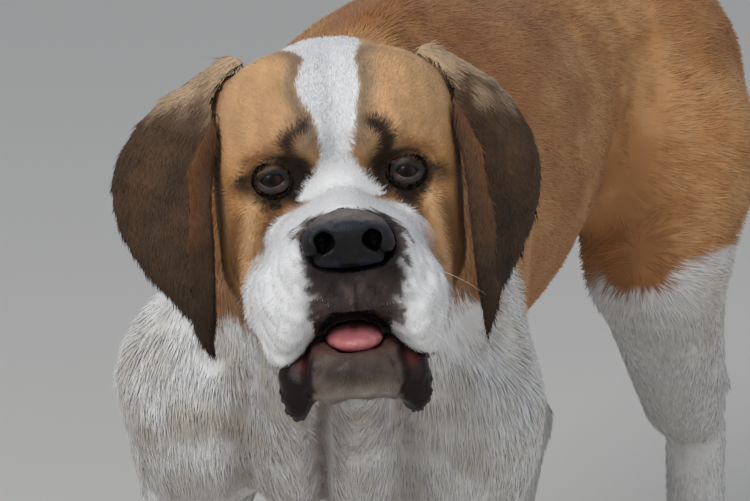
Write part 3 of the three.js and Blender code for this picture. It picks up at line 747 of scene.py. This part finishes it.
def face_shape(points):
    local = in_head(points)
    bare = naked(points)
    muzzle = 1 - step(-60, -20, local[:, 1])
    long = 6 - 1.9 * muzzle + 5 * step(0, 80, local[:, 1]) - 1.8 * bare
    return long, 0.8 - 0.12 * muzzle - 0.15 * bare, 1.2 - 0.5 * muzzle, 0.5 - 0.25 * muzzle


def face_density(points):
    local = in_head(points)
    y = local[:, 1]
    bare = naked(points)
    inside = (local[:, 2] < -96) * (np.abs(local[:, 0]) < 24) * (y > -94) * (y < 10)
    thick = 760000 * (y < 30) + 420000 * ((y >= 30) & (y < 95))
    lids = np.hypot(np.abs(local[:, 0]) - 46, local[:, 2] * 1.3) < 11.5
    return thick * (1 - 0.35 * bare) * (1 - inside) * (1 - lids)


def side_of_head(side):
    return lambda points: in_head(points)[:, 0] * side > 0


for side, sign in (("left", 1), ("right", -1)):
    tufts(
        f"coat_face_{side}", hide_surface, face_density, face_shape, seed=11,
        part=side_of_head(sign), vary=lambda points: 0.07 + 0.33 * naked(points),
    )


def body_shape(points):
    height = points[:, 2] / MM
    legs = 1 - step(200, 420, height)
    feet = feetness(points)
    chest = (1 - step(-300, -180, points[:, 1] / MM)) * (1 - legs)
    return 20 + chest - 7 * legs - 5 * feet, 1.6 - 0.3 * legs - 0.3 * feet, 2.3 - 0.5 * legs, 1.3 - 0.7 * legs


SPLITS = [-1000, -260, -175, -100, 30, 300, 480, 1000]  # where one piece of the body's coat meets the next


ON_BODY, MORE_IN_FRONT, MORE_ON_LEGS, MORE_ON_FEET = 80000, 90000, 40000, 100000  # tufts to a square metre


def body_density(low, high):
    def density(points):
        along = points[:, 1] / MM
        legs = 1 - step(200, 420, points[:, 2] / MM)
        seen = 1 - step(-260, 60, along)
        here = (along >= low) & (along < high) & (in_head(points)[:, 1] >= 92)
        count = ON_BODY + MORE_IN_FRONT * seen + MORE_ON_LEGS * legs + MORE_ON_FEET * feetness(points)
        return count * here

    return density


for number, (low, high) in enumerate(zip(SPLITS[:-1], SPLITS[1:])):
    name = f"coat_body_{number + 1}"
    tufts(name, hide_surface, body_density(low, high), body_shape, seed=20 + number, wild=0.13)

# The ears are thin flaps of skin and gristle that hang from the sides of the crown, in a short velvety coat:
# pale at the root, reddish along the free fold, dark brown below.
EAR_BROWN = linear("#57402e")
EAR_DARK = linear("#3a2e24")
EAR_RUST = linear("#6e4529")
EAR_PALE = linear("#c9ab8a")


def ear_colours(points):
    local = in_head(points)
    folded = sides(local)
    x, y, z = folded.T
    rough = ripple(local, 9, 41)
    colour = mixed(all_over(EAR_BROWN, points), EAR_DARK, np.clip(0.45 + 0.4 * rough, 0, 1))
    colour = mixed(colour, EAR_DARK * 0.75, 0.8 * (1 - step(-110, -30, z + 10 * rough)))
    colour = mixed(colour, EAR_PALE, 0.85 * step(38, 78, z + 14 * rough))
    colour = mixed(colour, EAR_BROWN, 0.8 * blob(folded, (128, 40, 22), (20, 40, 34)))
    fold = crease(folded, [(74, 14, 66), (96, 2, 30), (104, -2, -10), (106, 0, -60), (100, 12, -112)], 9)
    colour = mixed(colour, EAR_RUST, 0.8 * fold * step(-70, 0, z))
    return colour


def ear_lie(points, normal):
    local = in_head(points)
    x, y, z = local.T
    down = np.stack([np.sign(x) * 0.5 * step(20, 70, z), 0.15 + 0 * x, -1 + 0 * x], 1)
    return along_skin(directed(unit(down)), normal)


def ear_shape(points):
    height = in_head(points)[:, 2]
    return 8 + 3 * step(10, 70, height), 0.95, 1.3, 0.9


def rounded(node, cell, passes):
    """One solid as an even net with its facets rounded, and the places of the net's points."""
    form = refined(gathered([node]), cell)
    points = relaxed(places(form), pairs(form), passes)
    moved(form, points)
    return form, points


for side in ("left", "right"):
    flap, points = rounded(f"ear_{side}", 2.4 * MM, 8)
    local = in_head(points)
    folded = sides(local)
    hem = crease(folded, [(104, -2, 10), (106, -2, -44), (108, 2, -84), (98, 14, -114)], 12)
    wave = 2.0 * np.sin(local[:, 2] / 9 + 1.3 * ripple(local, 30, 43)) * hem
    sway = np.stack([np.sign(local[:, 0]) * wave, -0.6 * wave, 0 * wave], 1)
    valleys = crease(folded, [(80, 30, 66), (112, 34, 30), (120, 40, -20), (108, 26, -90)], 7)
    ridges = crease(folded, [(98, 32, 70), (134, 44, 30), (134, 46, -20), (116, 32, -84)], 8)
    lift = -1.5 * valleys + 1.3 * ridges + 0.5 * ripple(local, 14, 44)
    points = points + directed(sway) * MM + normals(flap) * (lift * MM)[:, None] - normals(flap) * (0.8 * MM)
    moved(flap, relaxed(points, pairs(flap), 2, 0.5))
    ear = finished(flap, f"ear_skin_{side}")
    unwrapped(ear)
    # The ear's skin takes the hair's colours, dimmed as painted shade under the coat.
    painted(ear.data, ear_colours(co_of(ear.data)) * 0.85)
    ear.data.materials.append(hide_look)
    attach(ear, "root")
    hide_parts(f"ear_{side}")
    tufts(
        f"coat_ear_{side}", Surface(ear), lambda points: 330000, ear_shape, flow=ear_lie,
        colours=ear_colours, seed=51, wild=0.2,
    )

# The eyes: dark brown irises with round pupils behind a wet, clear film. The rings of the mesh follow the
# edges of pupil and iris, as angles from the line of sight.
EYE_RINGS = [0, 4, 8, 11.5, 12.5, 16, 20, 24, 28, 31, 33.5, 35, 39, 50, 65, 80, 100, 120, 140, 160, 180]
PUPIL, IRIS = 12, 34  # degrees
IRIS_BROWN = linear("#120b06")
IRIS_AMBER = linear("#251a0e")
SCLERA = linear("#30221e")
EYE_SIDES = {}


def turned(count):
    """Even turns of a full circle."""
    return np.linspace(0, 2 * np.pi, count, endpoint=False)


def around(axis, count):
    """Unit vectors at even turns round an axis."""
    first = unit(np.cross(axis, [0, 0, 1]))
    second = np.cross(axis, first)
    return np.cos(turned(count))[:, None] * first + np.sin(turned(count))[:, None] * second


def lattice(rows, closed_ends=False):
    """A mesh over rings of points, each joined to the next, with its poles closed if asked."""
    bm = bmesh.new()
    rings = [[bm.verts.new(p) for p in row] for row in rows]
    for a, b in zip(rings[:-1], rings[1:]):
        for i in range(len(a)):
            j = (i + 1) % len(a)
            bm.faces.new((a[i], a[j], b[j], b[i]))
    if closed_ends:
        bm.faces.new(rings[0][::-1])
        bm.faces.new(rings[-1])
    bmesh.ops.remove_doubles(bm, verts=bm.verts, dist=0.0001 * MM)
    bmesh.ops.recalc_face_normals(bm, faces=bm.faces)
    return bm


for side, sign in (("left", 1), ("right", -1)):
    low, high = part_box(f"eye_{side}")
    centre = in_head([tuple((low + high) / 2)])[0]
    radius = (high - low).z / 2 / MM * 0.985
    EYE_SIDES[side] = (sign, centre, radius)
    sight = unit(np.array([sign * 0.03, -1, -0.03]))
    rows = []
    for angle in EYE_RINGS:
        bulge = radius * (1 + 0.035 * (1 - step(20, 36, np.array(angle))))
        tilt = math.radians(angle)
        ring = centre + bulge * (math.cos(tilt) * sight + math.sin(tilt) * around(sight, 40))
        rows.append([tuple(p) for p in from_head(ring)])
    eye = finished(lattice(rows), f"eyeball_{side}")
    at = in_head(co_of(eye.data)) - centre
    angles = np.degrees(np.arccos(np.clip(unit(at) @ sight, -1, 1)))
    spokes = ripple(flattened(at), 1.2, 61)
    colour = mixed(all_over(IRIS_BROWN, at), IRIS_AMBER, step(14, 26, angles) * (0.55 + 0.3 * spokes))
    colour = mixed(colour, BLACK * 0.4, 1 - step(PUPIL - 0.3, PUPIL + 0.3, angles))
    colour = mixed(colour, BLACK, 0.8 * np.exp(-(((angles - IRIS) / 2.2) ** 2)))
    colour = mixed(colour, SCLERA, step(IRIS, IRIS + 4, angles))
    painted(eye.data, colour)
    gloss, shader = new_material(f"eye_{side}", 0.3, 0.08)
    shader.inputs["Coat Weight"].default_value = 0.3
    shader.inputs["Coat IOR"].default_value = 1.34
    shader.inputs["Coat Roughness"].default_value = 0.03
    coloured(gloss, shader)
    eye.data.materials.append(gloss)
    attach(eye, "root")
    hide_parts(f"eye_{side}")

# The lids are loose, dark skin over the eyeball. The lower one sags and shows a pink rim at its inner end.
# Their opening is given as distances from the pupil, outwards and up, in millimetres.
OPENING = [
    (8.6, -1.2), (7.0, 0.9), (4.4, 2.5), (1.1, 3.3), (-2.8, 3.5), (-6.2, 2.8), (-9.0, -0.4), (-7.6, -3.6),
    (-4.2, -5.2), (0.5, -5.6), (5.0, -4.0),
]
LID_SIZES = {"left": 0.86, "right": 0.95}
SOCKET_WIDE, SOCKET_HIGH = 15.5, 12.5  # from its middle to its edge
LID_MAUVE = linear("#3b3136")
HAW = linear("#6a4848")


def looped(outline, count):
    """A smooth closed line through the points, evenly sampled."""
    outline = np.asarray(outline, float)
    dense = []
    for i in range(len(outline)):
        p, a, b, q = (outline[(i + k) % len(outline)] for k in (-1, 0, 1, 2))
        for t in np.linspace(0, 1, 12, endpoint=False):
            bend, twist = 2 * p - 5 * a + 4 * b - q, 3 * a - p - 3 * b + q
            dense.append(0.5 * (2 * a + (b - p) * t + bend * t**2 + twist * t**3))
    dense = np.array(dense)
    return dense[np.linspace(0, len(dense), count, endpoint=False).astype(int)]


hide_tree = BVHTree.FromBMesh(hide)
for side, (sign, centre, radius) in EYE_SIDES.items():
    outline = looped(OPENING, 66) * LID_SIZES[side]
    haw = step(0.5, 3.5, -outline[:, 1]) * (1 - step(-3, 4, outline[:, 0]))
    rows, shades = [], []
    bearing = np.arctan2(outline[:, 1], outline[:, 0])
    socket = np.stack([SOCKET_WIDE * np.cos(bearing), SOCKET_HIGH * np.sin(bearing)], 1)
    # Share of the way from the opening to the edge of the socket, and height over the eyeball. The last one
    # sinks into the skin.
    rings = [
        (0.0, -0.3), (0.0, 0.4), (0.06, 0.9), (0.16, 1.3), (0.34, 1.6), (0.56, 1.8), (0.8, 1.8), (1.0, None),
    ]
    for number, (share, height) in enumerate(rings):
        out = outline + (socket - outline) * share
        if number == 0:
            out = out + np.stack([0 * haw, 1.8 * haw], 1)
        flat = np.linalg.norm(out, axis=1)
        reach = radius + (height if height is not None else 2)
        angle = flat / reach
        swing = out / flat[:, None] * np.sin(angle)[:, None]
        toward = np.stack([sign * swing[:, 0], -np.cos(angle), swing[:, 1]], 1)
        row = []
        for direction in toward:
            start = Vector(from_head([centre + direction * (radius + 14)])[0])
            aim = Vector(directed([-direction])[0])
            hit, normal, index, gap = hide_tree.ray_cast(start, aim, 0.03)
            over = radius + 14 - gap / MM if hit is not None else radius + 2
            over = min(max(over, radius + 0.5), radius + 6)
            if height is None:
                far = over - 1.5
            elif number < 3:
                far = radius + height
            else:
                blend_in = (number - 2) / 5
                far = max(radius + height, (over + 0.4) * blend_in + (radius + height) * (1 - blend_in))
            row.append(centre + direction * far)
        row = np.array(row)
        if number >= 3:
            row = (row + np.roll(row, 1, 0) + np.roll(row, -1, 0)) / 3
        rows.append([tuple(p) for p in from_head(row)])
        low = step(0, 4, -outline[:, 1])
        colour = mixed(all_over(BLACK, outline), LID_MAUVE, low * (number > 2) * 0.9)
        colour = mixed(colour, HAW, haw * (1.0 if number < 2 else 0.35 if number == 2 else 0.0))
        shades.append(colour)
    lids = finished(lattice(rows), f"lids_{side}")
    order = np.concatenate([np.array(row) for row in rows])
    paint = np.concatenate(shades)
    at = co_of(lids.data)
    nearest = [int(np.argmin(((order - p) ** 2).sum(1))) for p in at]
    wrinkle = 1 + 0.25 * ripple(in_head(at), 2.2, 63)
    outer = np.repeat(step(3.5, 6.5, np.arange(len(rings))), len(outline))[nearest]
    painted(lids.data, mixed(paint[nearest] * wrinkle[:, None], markings_and_shade(at), outer))
    moist, shader = new_material(f"lid_{side}", 0.42, 0.25)
    coloured(moist, shader)
    relief(moist, shader, "ShaderNodeTexNoise", {"Scale": 900, "Detail": 3.0}, "Fac", 0.6, 0.5)
    lids.data.materials.append(moist)
    unwrapped(lids)
    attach(lids, "root")

# The nose leather is bare, moist skin with a fine pebble. Pebbles are about 1 mm across.
nose_form, points = rounded("nose", 1.1 * MM, 3)
local = in_head(points)
lift = 1.0 * crease(sides(local), [(34, -96, -40), (30, -108, -52), (18, -114, -60)], 4)
lift -= 1.5 * crease(local, [(0, -118, -34), (0, -120, -50), (0, -112, -66)], 1.8)
slits = crease(flattened(sides(local)), [(17, 0, -50), (22, 0, -56), (29, 0, -57), (34, 0, -53)], 2.2)
lift -= 3.6 * slits * (local[:, 1] < -92)
lift += 0.25 * ripple(local, 2.5, 71)
moved(nose_form, points + normals(nose_form) * (lift * MM)[:, None])
nose = finished(nose_form, "nose_leather")
at = co_of(nose.data)
local = in_head(at)
up_facing = np.array([tuple(v.normal) for v in nose.data.vertices]) @ AXES
# Painted light: the top of the leather, where it faces up, is painted lighter as if lit from the sky.
top = step(0.25, 0.8, up_facing[:, 2]) * step(-44, -30, local[:, 2])
flat = flattened(sides(local))
slits = crease(flat, [(17, 0, -48), (22, 0, -56), (29, 0, -57), (33, 0, -54)], 3)
# Painted reflection: a bluish band across the upper front of the leather stands for the sky's sheen.
sky_reflection_band = crease(flat, [(0, 0, -34), (16, 0, -33), (28, 0, -38)], 6) * (1 - top)
colour = mixed(all_over(linear("#131112"), at), linear("#6a6260"), 0.9 * top)
colour = mixed(colour, linear("#262b3a"), 0.6 * sky_reflection_band)
rim = step(24, 32, np.abs(local[:, 0])) * step(-62, -50, local[:, 2])
colour = mixed(colour, MAUVE, 0.45 * rim)
# Painted highlight: a blue-grey line along the lower rims of the nostrils.
colour = mixed(colour, linear("#363c4c"), 0.6 * crease(flat, [(9, 0, -61), (18, 0, -62), (27, 0, -60)], 3))
# Painted shadow round the nostrils, under their wings, and in their slits.
nostril_shadow = np.maximum(0.85 * slits, 0.75 * blob(flat, (17, 0, -47), (13, 1, 10)))
colour = colour * (1 - nostril_shadow)[:, None]
painted(nose.data, colour * (1 + 0.15 * ripple(local, 3, 72))[:, None])
leather, shader = new_material("nose_leather", 0.42, 0.18)
shader.inputs["Coat Weight"].default_value = 0.06
shader.inputs["Coat Roughness"].default_value = 0.25
coloured(leather, shader)
relief(leather, shader, "ShaderNodeTexVoronoi", {"Scale": 950}, "Distance", 0.7, -0.45)
nose.data.materials.append(leather)
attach(nose, "root")
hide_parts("nose")

# The lower lips hang in dark, wet folds to each side of a mottled chin in two lobes. Behind them the jaw is
# furred white.
CHIN = linear("#54453d")
CHIN_DARK = linear("#2e2422")
FLAP_DARK = linear("#150c0a")
RAW = linear("#5e2b27")


def lip_colours(points):
    local = in_head(points)
    folded = sides(local)
    x, y, z = folded.T
    mottle = ripple(local, 3.4, 81)
    dusky = blob(folded, (0, -92, -132), (24, 30, 8)) + 0.25 * mottle
    colour = mixed(all_over(CHIN, points), CHIN_DARK, np.clip(0.8 * dusky, 0, 1))
    lobes = crease(folded, [(0, -90, -148), (14, -88, -148), (28, -78, -146)], 7)
    colour = mixed(colour, CREAM, 0.34 * lobes * (1 + 0.3 * mottle))
    colour = mixed(colour, RAW, 0.3 * step(-124, -116, z) * (y < -60))
    flaps = step(26, 31, x + 1.5 * mottle) * (y < -34)
    colour = mixed(colour, FLAP_DARK, flaps)
    colour = mixed(colour, RAW, 0.6 * blob(folded, (37, -70, -127), (5, 14, 6)) * flaps)
    back = step(-52, -36, y + 4 * mottle) * (1 - step(-112, -100, z) * (y < -20))
    return mixed(colour, WHITE, np.clip(back, 0, 1))


def chin_density(points):
    folded = sides(in_head(points))
    x, y, z = folded.T
    flaps = step(25, 29, x) * (y < -36)
    front = (y < -45) * (z > -119)
    return (420000 + 80000 * step(-52, -36, y)) * (1 - flaps) * (1 - front)


def chin_shape(points):
    back = step(-52, -30, in_head(points)[:, 1])
    return 4 + 8 * back, 0.5 + 0.6 * back, 1.0, 0.4


def chin_lie(points, normal):
    local = in_head(points)
    rear = step(-60, -30, local[:, 1])
    back = np.stack([0 * rear, 0.15 + rear, -1 + 0.7 * rear], 1)
    return along_skin(directed(unit(back)), normal)


def chin_hair(points):
    local = in_head(points)
    back = step(-52, -36, local[:, 1])
    pale = 0.4 * step(130, 148, -local[:, 2]) * step(-0.4, 0.8, ripple(local, 3, 83)) + 0.08
    grizzled = mixed(lip_colours(points), CREAM, pale)
    return mixed(grizzled, WHITE, back)


jaw_form, points = rounded("lower_jaw", 1.9 * MM, 6)
local = in_head(points)
folded = sides(local)
lift = -3.4 * crease(local, [(-1, -100, -118), (-1, -100, -134), (-1, -92, -152)], 3.2)
lift -= 2.6 * crease(folded, [(27, -92, -120), (27, -86, -134), (25, -76, -152)], 3.0)
lift += 0.9 * ripple(local, 6, 84) * (local[:, 1] < -50)
tatters = crease(folded, [(51, -60, -146), (46, -58, -160), (36, -60, -166)], 5)
lift += 1.6 * tatters * ripple(local, 1.6, 85)
back = step(-46, -20, local[:, 1])
points = points + normals(jaw_form) * ((lift - 2.0 * back) * MM)[:, None]
moved(jaw_form, relaxed(points, pairs(jaw_form), 1, 0.5))
jaw = finished(jaw_form, "lower_lips")
unwrapped(jaw)
painted(jaw.data, lip_colours(co_of(jaw.data)))
lip, shader = new_material("lip", 0.4, 0.18)
coloured(lip, shader)
relief(lip, shader, "ShaderNodeTexNoise", {"Scale": 700, "Detail": 3.0}, "Fac", 0.5, 0.6)
jaw.data.materials.append(lip)
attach(jaw, "root")
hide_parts("lower_jaw")
tufts(
    "coat_chin", Surface(jaw), chin_density, chin_shape, flow=chin_lie, colours=chin_hair,
    seed=86,
)

# The tongue's tip is wet muscle, with a shallow groove and a velvet of papillae about 0.5 mm across.
tongue_form, points = rounded("tongue", 1.5 * MM, 6)
local = in_head(points)
lift = -1.2 * crease(local, [(1, -96, -106), (1, -60, -101)], 3)
moved(tongue_form, points + normals(tongue_form) * (lift * MM)[:, None])
tongue = finished(tongue_form, "tongue_tip")
at = in_head(co_of(tongue.data))
edge = crease(sides(at), [(0, -97, -110), (12, -92, -110), (19, -76, -110)], 3)
# Painted shade: the tongue darker towards the back of the mouth and nearly black over its top, which lies in
# the mouth's shadow.
colour = mixed(all_over(linear("#b4696c"), at), linear("#8e474c"), step(-88, -60, at[:, 1]))
colour = mixed(colour, BLACK, 0.7 * step(-104, -97, at[:, 2]))
colour = mixed(colour, linear("#d39a98"), 0.5 * edge)
painted(tongue.data, colour * (1 + 0.12 * ripple(at, 2, 91))[:, None])
wet, shader = new_material("tongue", 0.35)
shader.inputs["Subsurface Weight"].default_value = 0.2
shader.inputs["Subsurface Radius"].default_value = (0.004, 0.0015, 0.001)
coloured(wet, shader)
relief(wet, shader, "ShaderNodeTexVoronoi", {"Scale": 1400}, "Distance", 0.5, -0.3)
tongue.data.materials.append(wet)
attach(tongue, "root")
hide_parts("tongue")

# The claws are curved horn, blunt from walking. Each paw is given by its heel's place on the floor from the
# point between the eyes, in millimetres, and by how far it is turned.
HEELS = {
    "forepaw_left": (-51.7, 396.5, 7),
    "forepaw_right": (-275.4, 384.7, -1),
    "hindpaw_left": (21.5, 1030.9, 0),
    "hindpaw_right": (-194.1, 1005.6, -16),
}
TOE_REACH = [(-1.5, 102), (-0.5, 117), (0.5, 117), (1.5, 102)]
TOE_SPACING = 27
CLAW_LENGTH, CLAW_DROP, CLAW_HEIGHT, CLAW_RADIUS = 21, 19, 27, 5.2
CLAW_CURL = math.radians(80)
CLAW_OVER_FLOOR = 0.0008
CLAW_SIDES = turned(12)


def joined(made, piece):
    """Adds one more mesh to those made so far."""
    mesh = bpy.data.meshes.new("piece")
    piece.to_mesh(mesh)
    made.from_mesh(mesh)


horn, shader = new_material("claw_horn", 0.35)
coloured(horn, shader)
relief(horn, shader, "ShaderNodeTexNoise", {"Scale": 600, "Detail": 2.0}, "Fac", 0.4, 0.3)
for paw, (x, y, out) in HEELS.items():
    heel = HEAD_AT + np.array([x, y, 0]) * MM
    heel[2] = 0
    spin = np.array(turn(out, "Z"))
    made = bmesh.new()
    for place, reach in TOE_REACH:
        rows = []
        for share in np.linspace(0, 1, 8):
            tilt = math.radians(18 + 62 * share)
            forward = CLAW_LENGTH * math.sin(CLAW_CURL * share)
            down = CLAW_DROP * (1 - math.cos(CLAW_CURL * share))
            axis = np.array([place * TOE_SPACING, -reach + 7 - forward, CLAW_HEIGHT - down])
            thick = CLAW_RADIUS * (1 - share**2.2) ** 0.6 + 0.3
            wide, deep = 0.8 * np.cos(CLAW_SIDES), np.sin(CLAW_SIDES)
            ring = np.stack([wide, -deep * math.sin(tilt), deep * math.cos(tilt)], 1)
            local = axis + thick * ring
            rows.append([tuple(p) for p in heel + (local @ spin.T) * MM])
        joined(made, lattice(rows, closed_ends=True))
    low = min(v.co.z for v in made.verts)
    for vertex in made.verts:
        vertex.co.z += max(0, CLAW_OVER_FLOOR - low)
    claws = finished(made, f"claws_{paw}")
    at = co_of(claws.data)
    heights = at[:, 2] / MM
    painted(claws.data, mixed(all_over(linear("#6d5f52"), at), linear("#2f2924"), step(6, 24, heights)))
    claws.data.materials.append(horn)
    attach(claws, "root")

# The whiskers are stiff hairs, about 0.3 mm thick, that grow from the cushions of the upper lip. At that
# width they show only from near the head.
whisker_rng = np.random.default_rng(95)
WHISKER_ROOTS = [
    (36, -92, -68), (42, -86, -78), (46, -76, -80), (40, -90, -90), (46, -80, -92), (45, -82, -102),
    (50, -70, -88), (48, -66, -76),
]
WHISKER_LENGTHS = (24, 38)
WHISKER_RADIUS = 0.15
made = bmesh.new()
for sign in (1, -1):
    for x, y, z in WHISKER_ROOTS:
        root = np.array([sign * x, y, z]) + whisker_rng.normal(0, 1.2, 3)
        hit, normal, index, gap = hide_tree.find_nearest(Vector(from_head([root])[0]))
        root = in_head([tuple(hit - normal * MM)])[0]
        out = unit(np.array([sign * 0.8, -0.35, -0.5]) + whisker_rng.normal(0, 0.16, 3))
        droop = np.array([sign * 0.1, 0.5, -0.7])
        length = whisker_rng.uniform(*WHISKER_LENGTHS)
        rows = []
        for share in np.linspace(0, 1, 9):
            axis = root + out * length * share + droop * length * 0.35 * share**2
            thick = WHISKER_RADIUS * (1 - 0.8 * share)
            rows.append([tuple(p) for p in from_head(axis + thick * around(out, 4))])
        joined(made, lattice(rows, closed_ends=True))
whiskers = finished(made, "whiskers")
painted(whiskers.data, all_over(linear("#d8d2c8"), whiskers.data.vertices))
whiskers.data.materials.append(hair)
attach(whiskers, "root")

# A plain pale floor and soft light from the sky and two large lamps.
floor_mesh = bpy.data.meshes.new("floor")
bm = bmesh.new()
bmesh.ops.create_grid(bm, x_segments=1, y_segments=1, size=12)
bm.to_mesh(floor_mesh)
floor = new_object("floor", floor_mesh)
matt, shader = new_material("floor", 0.9)
shader.inputs["Base Color"].default_value = (*linear("#d0ccc5"), 1)
floor_mesh.materials.append(matt)
world = bpy.data.worlds.new("studio")
world.use_nodes = True
world.node_tree.nodes["Background"].inputs["Color"].default_value = (*linear("#dfe5ee"), 1)
world.node_tree.nodes["Background"].inputs["Strength"].default_value = 0.6
bpy.context.scene.world = world
bpy.context.scene.view_settings.view_transform = "Standard"


def lamp(name, place, size, power):
    data = bpy.data.lights.new(name, "AREA")
    data.size = size
    data.energy = power
    light = new_object(name, data)
    light.location = place
    light.rotation_mode = "QUATERNION"
    light.rotation_quaternion = (Vector(place) - between_eyes).to_track_quat("Z", "Y")


lamp("key", (-0.6, -2.6, 2.7), 1.6, 60)
lamp("fill", (2.6, -1.6, 1.6), 2.4, 16)
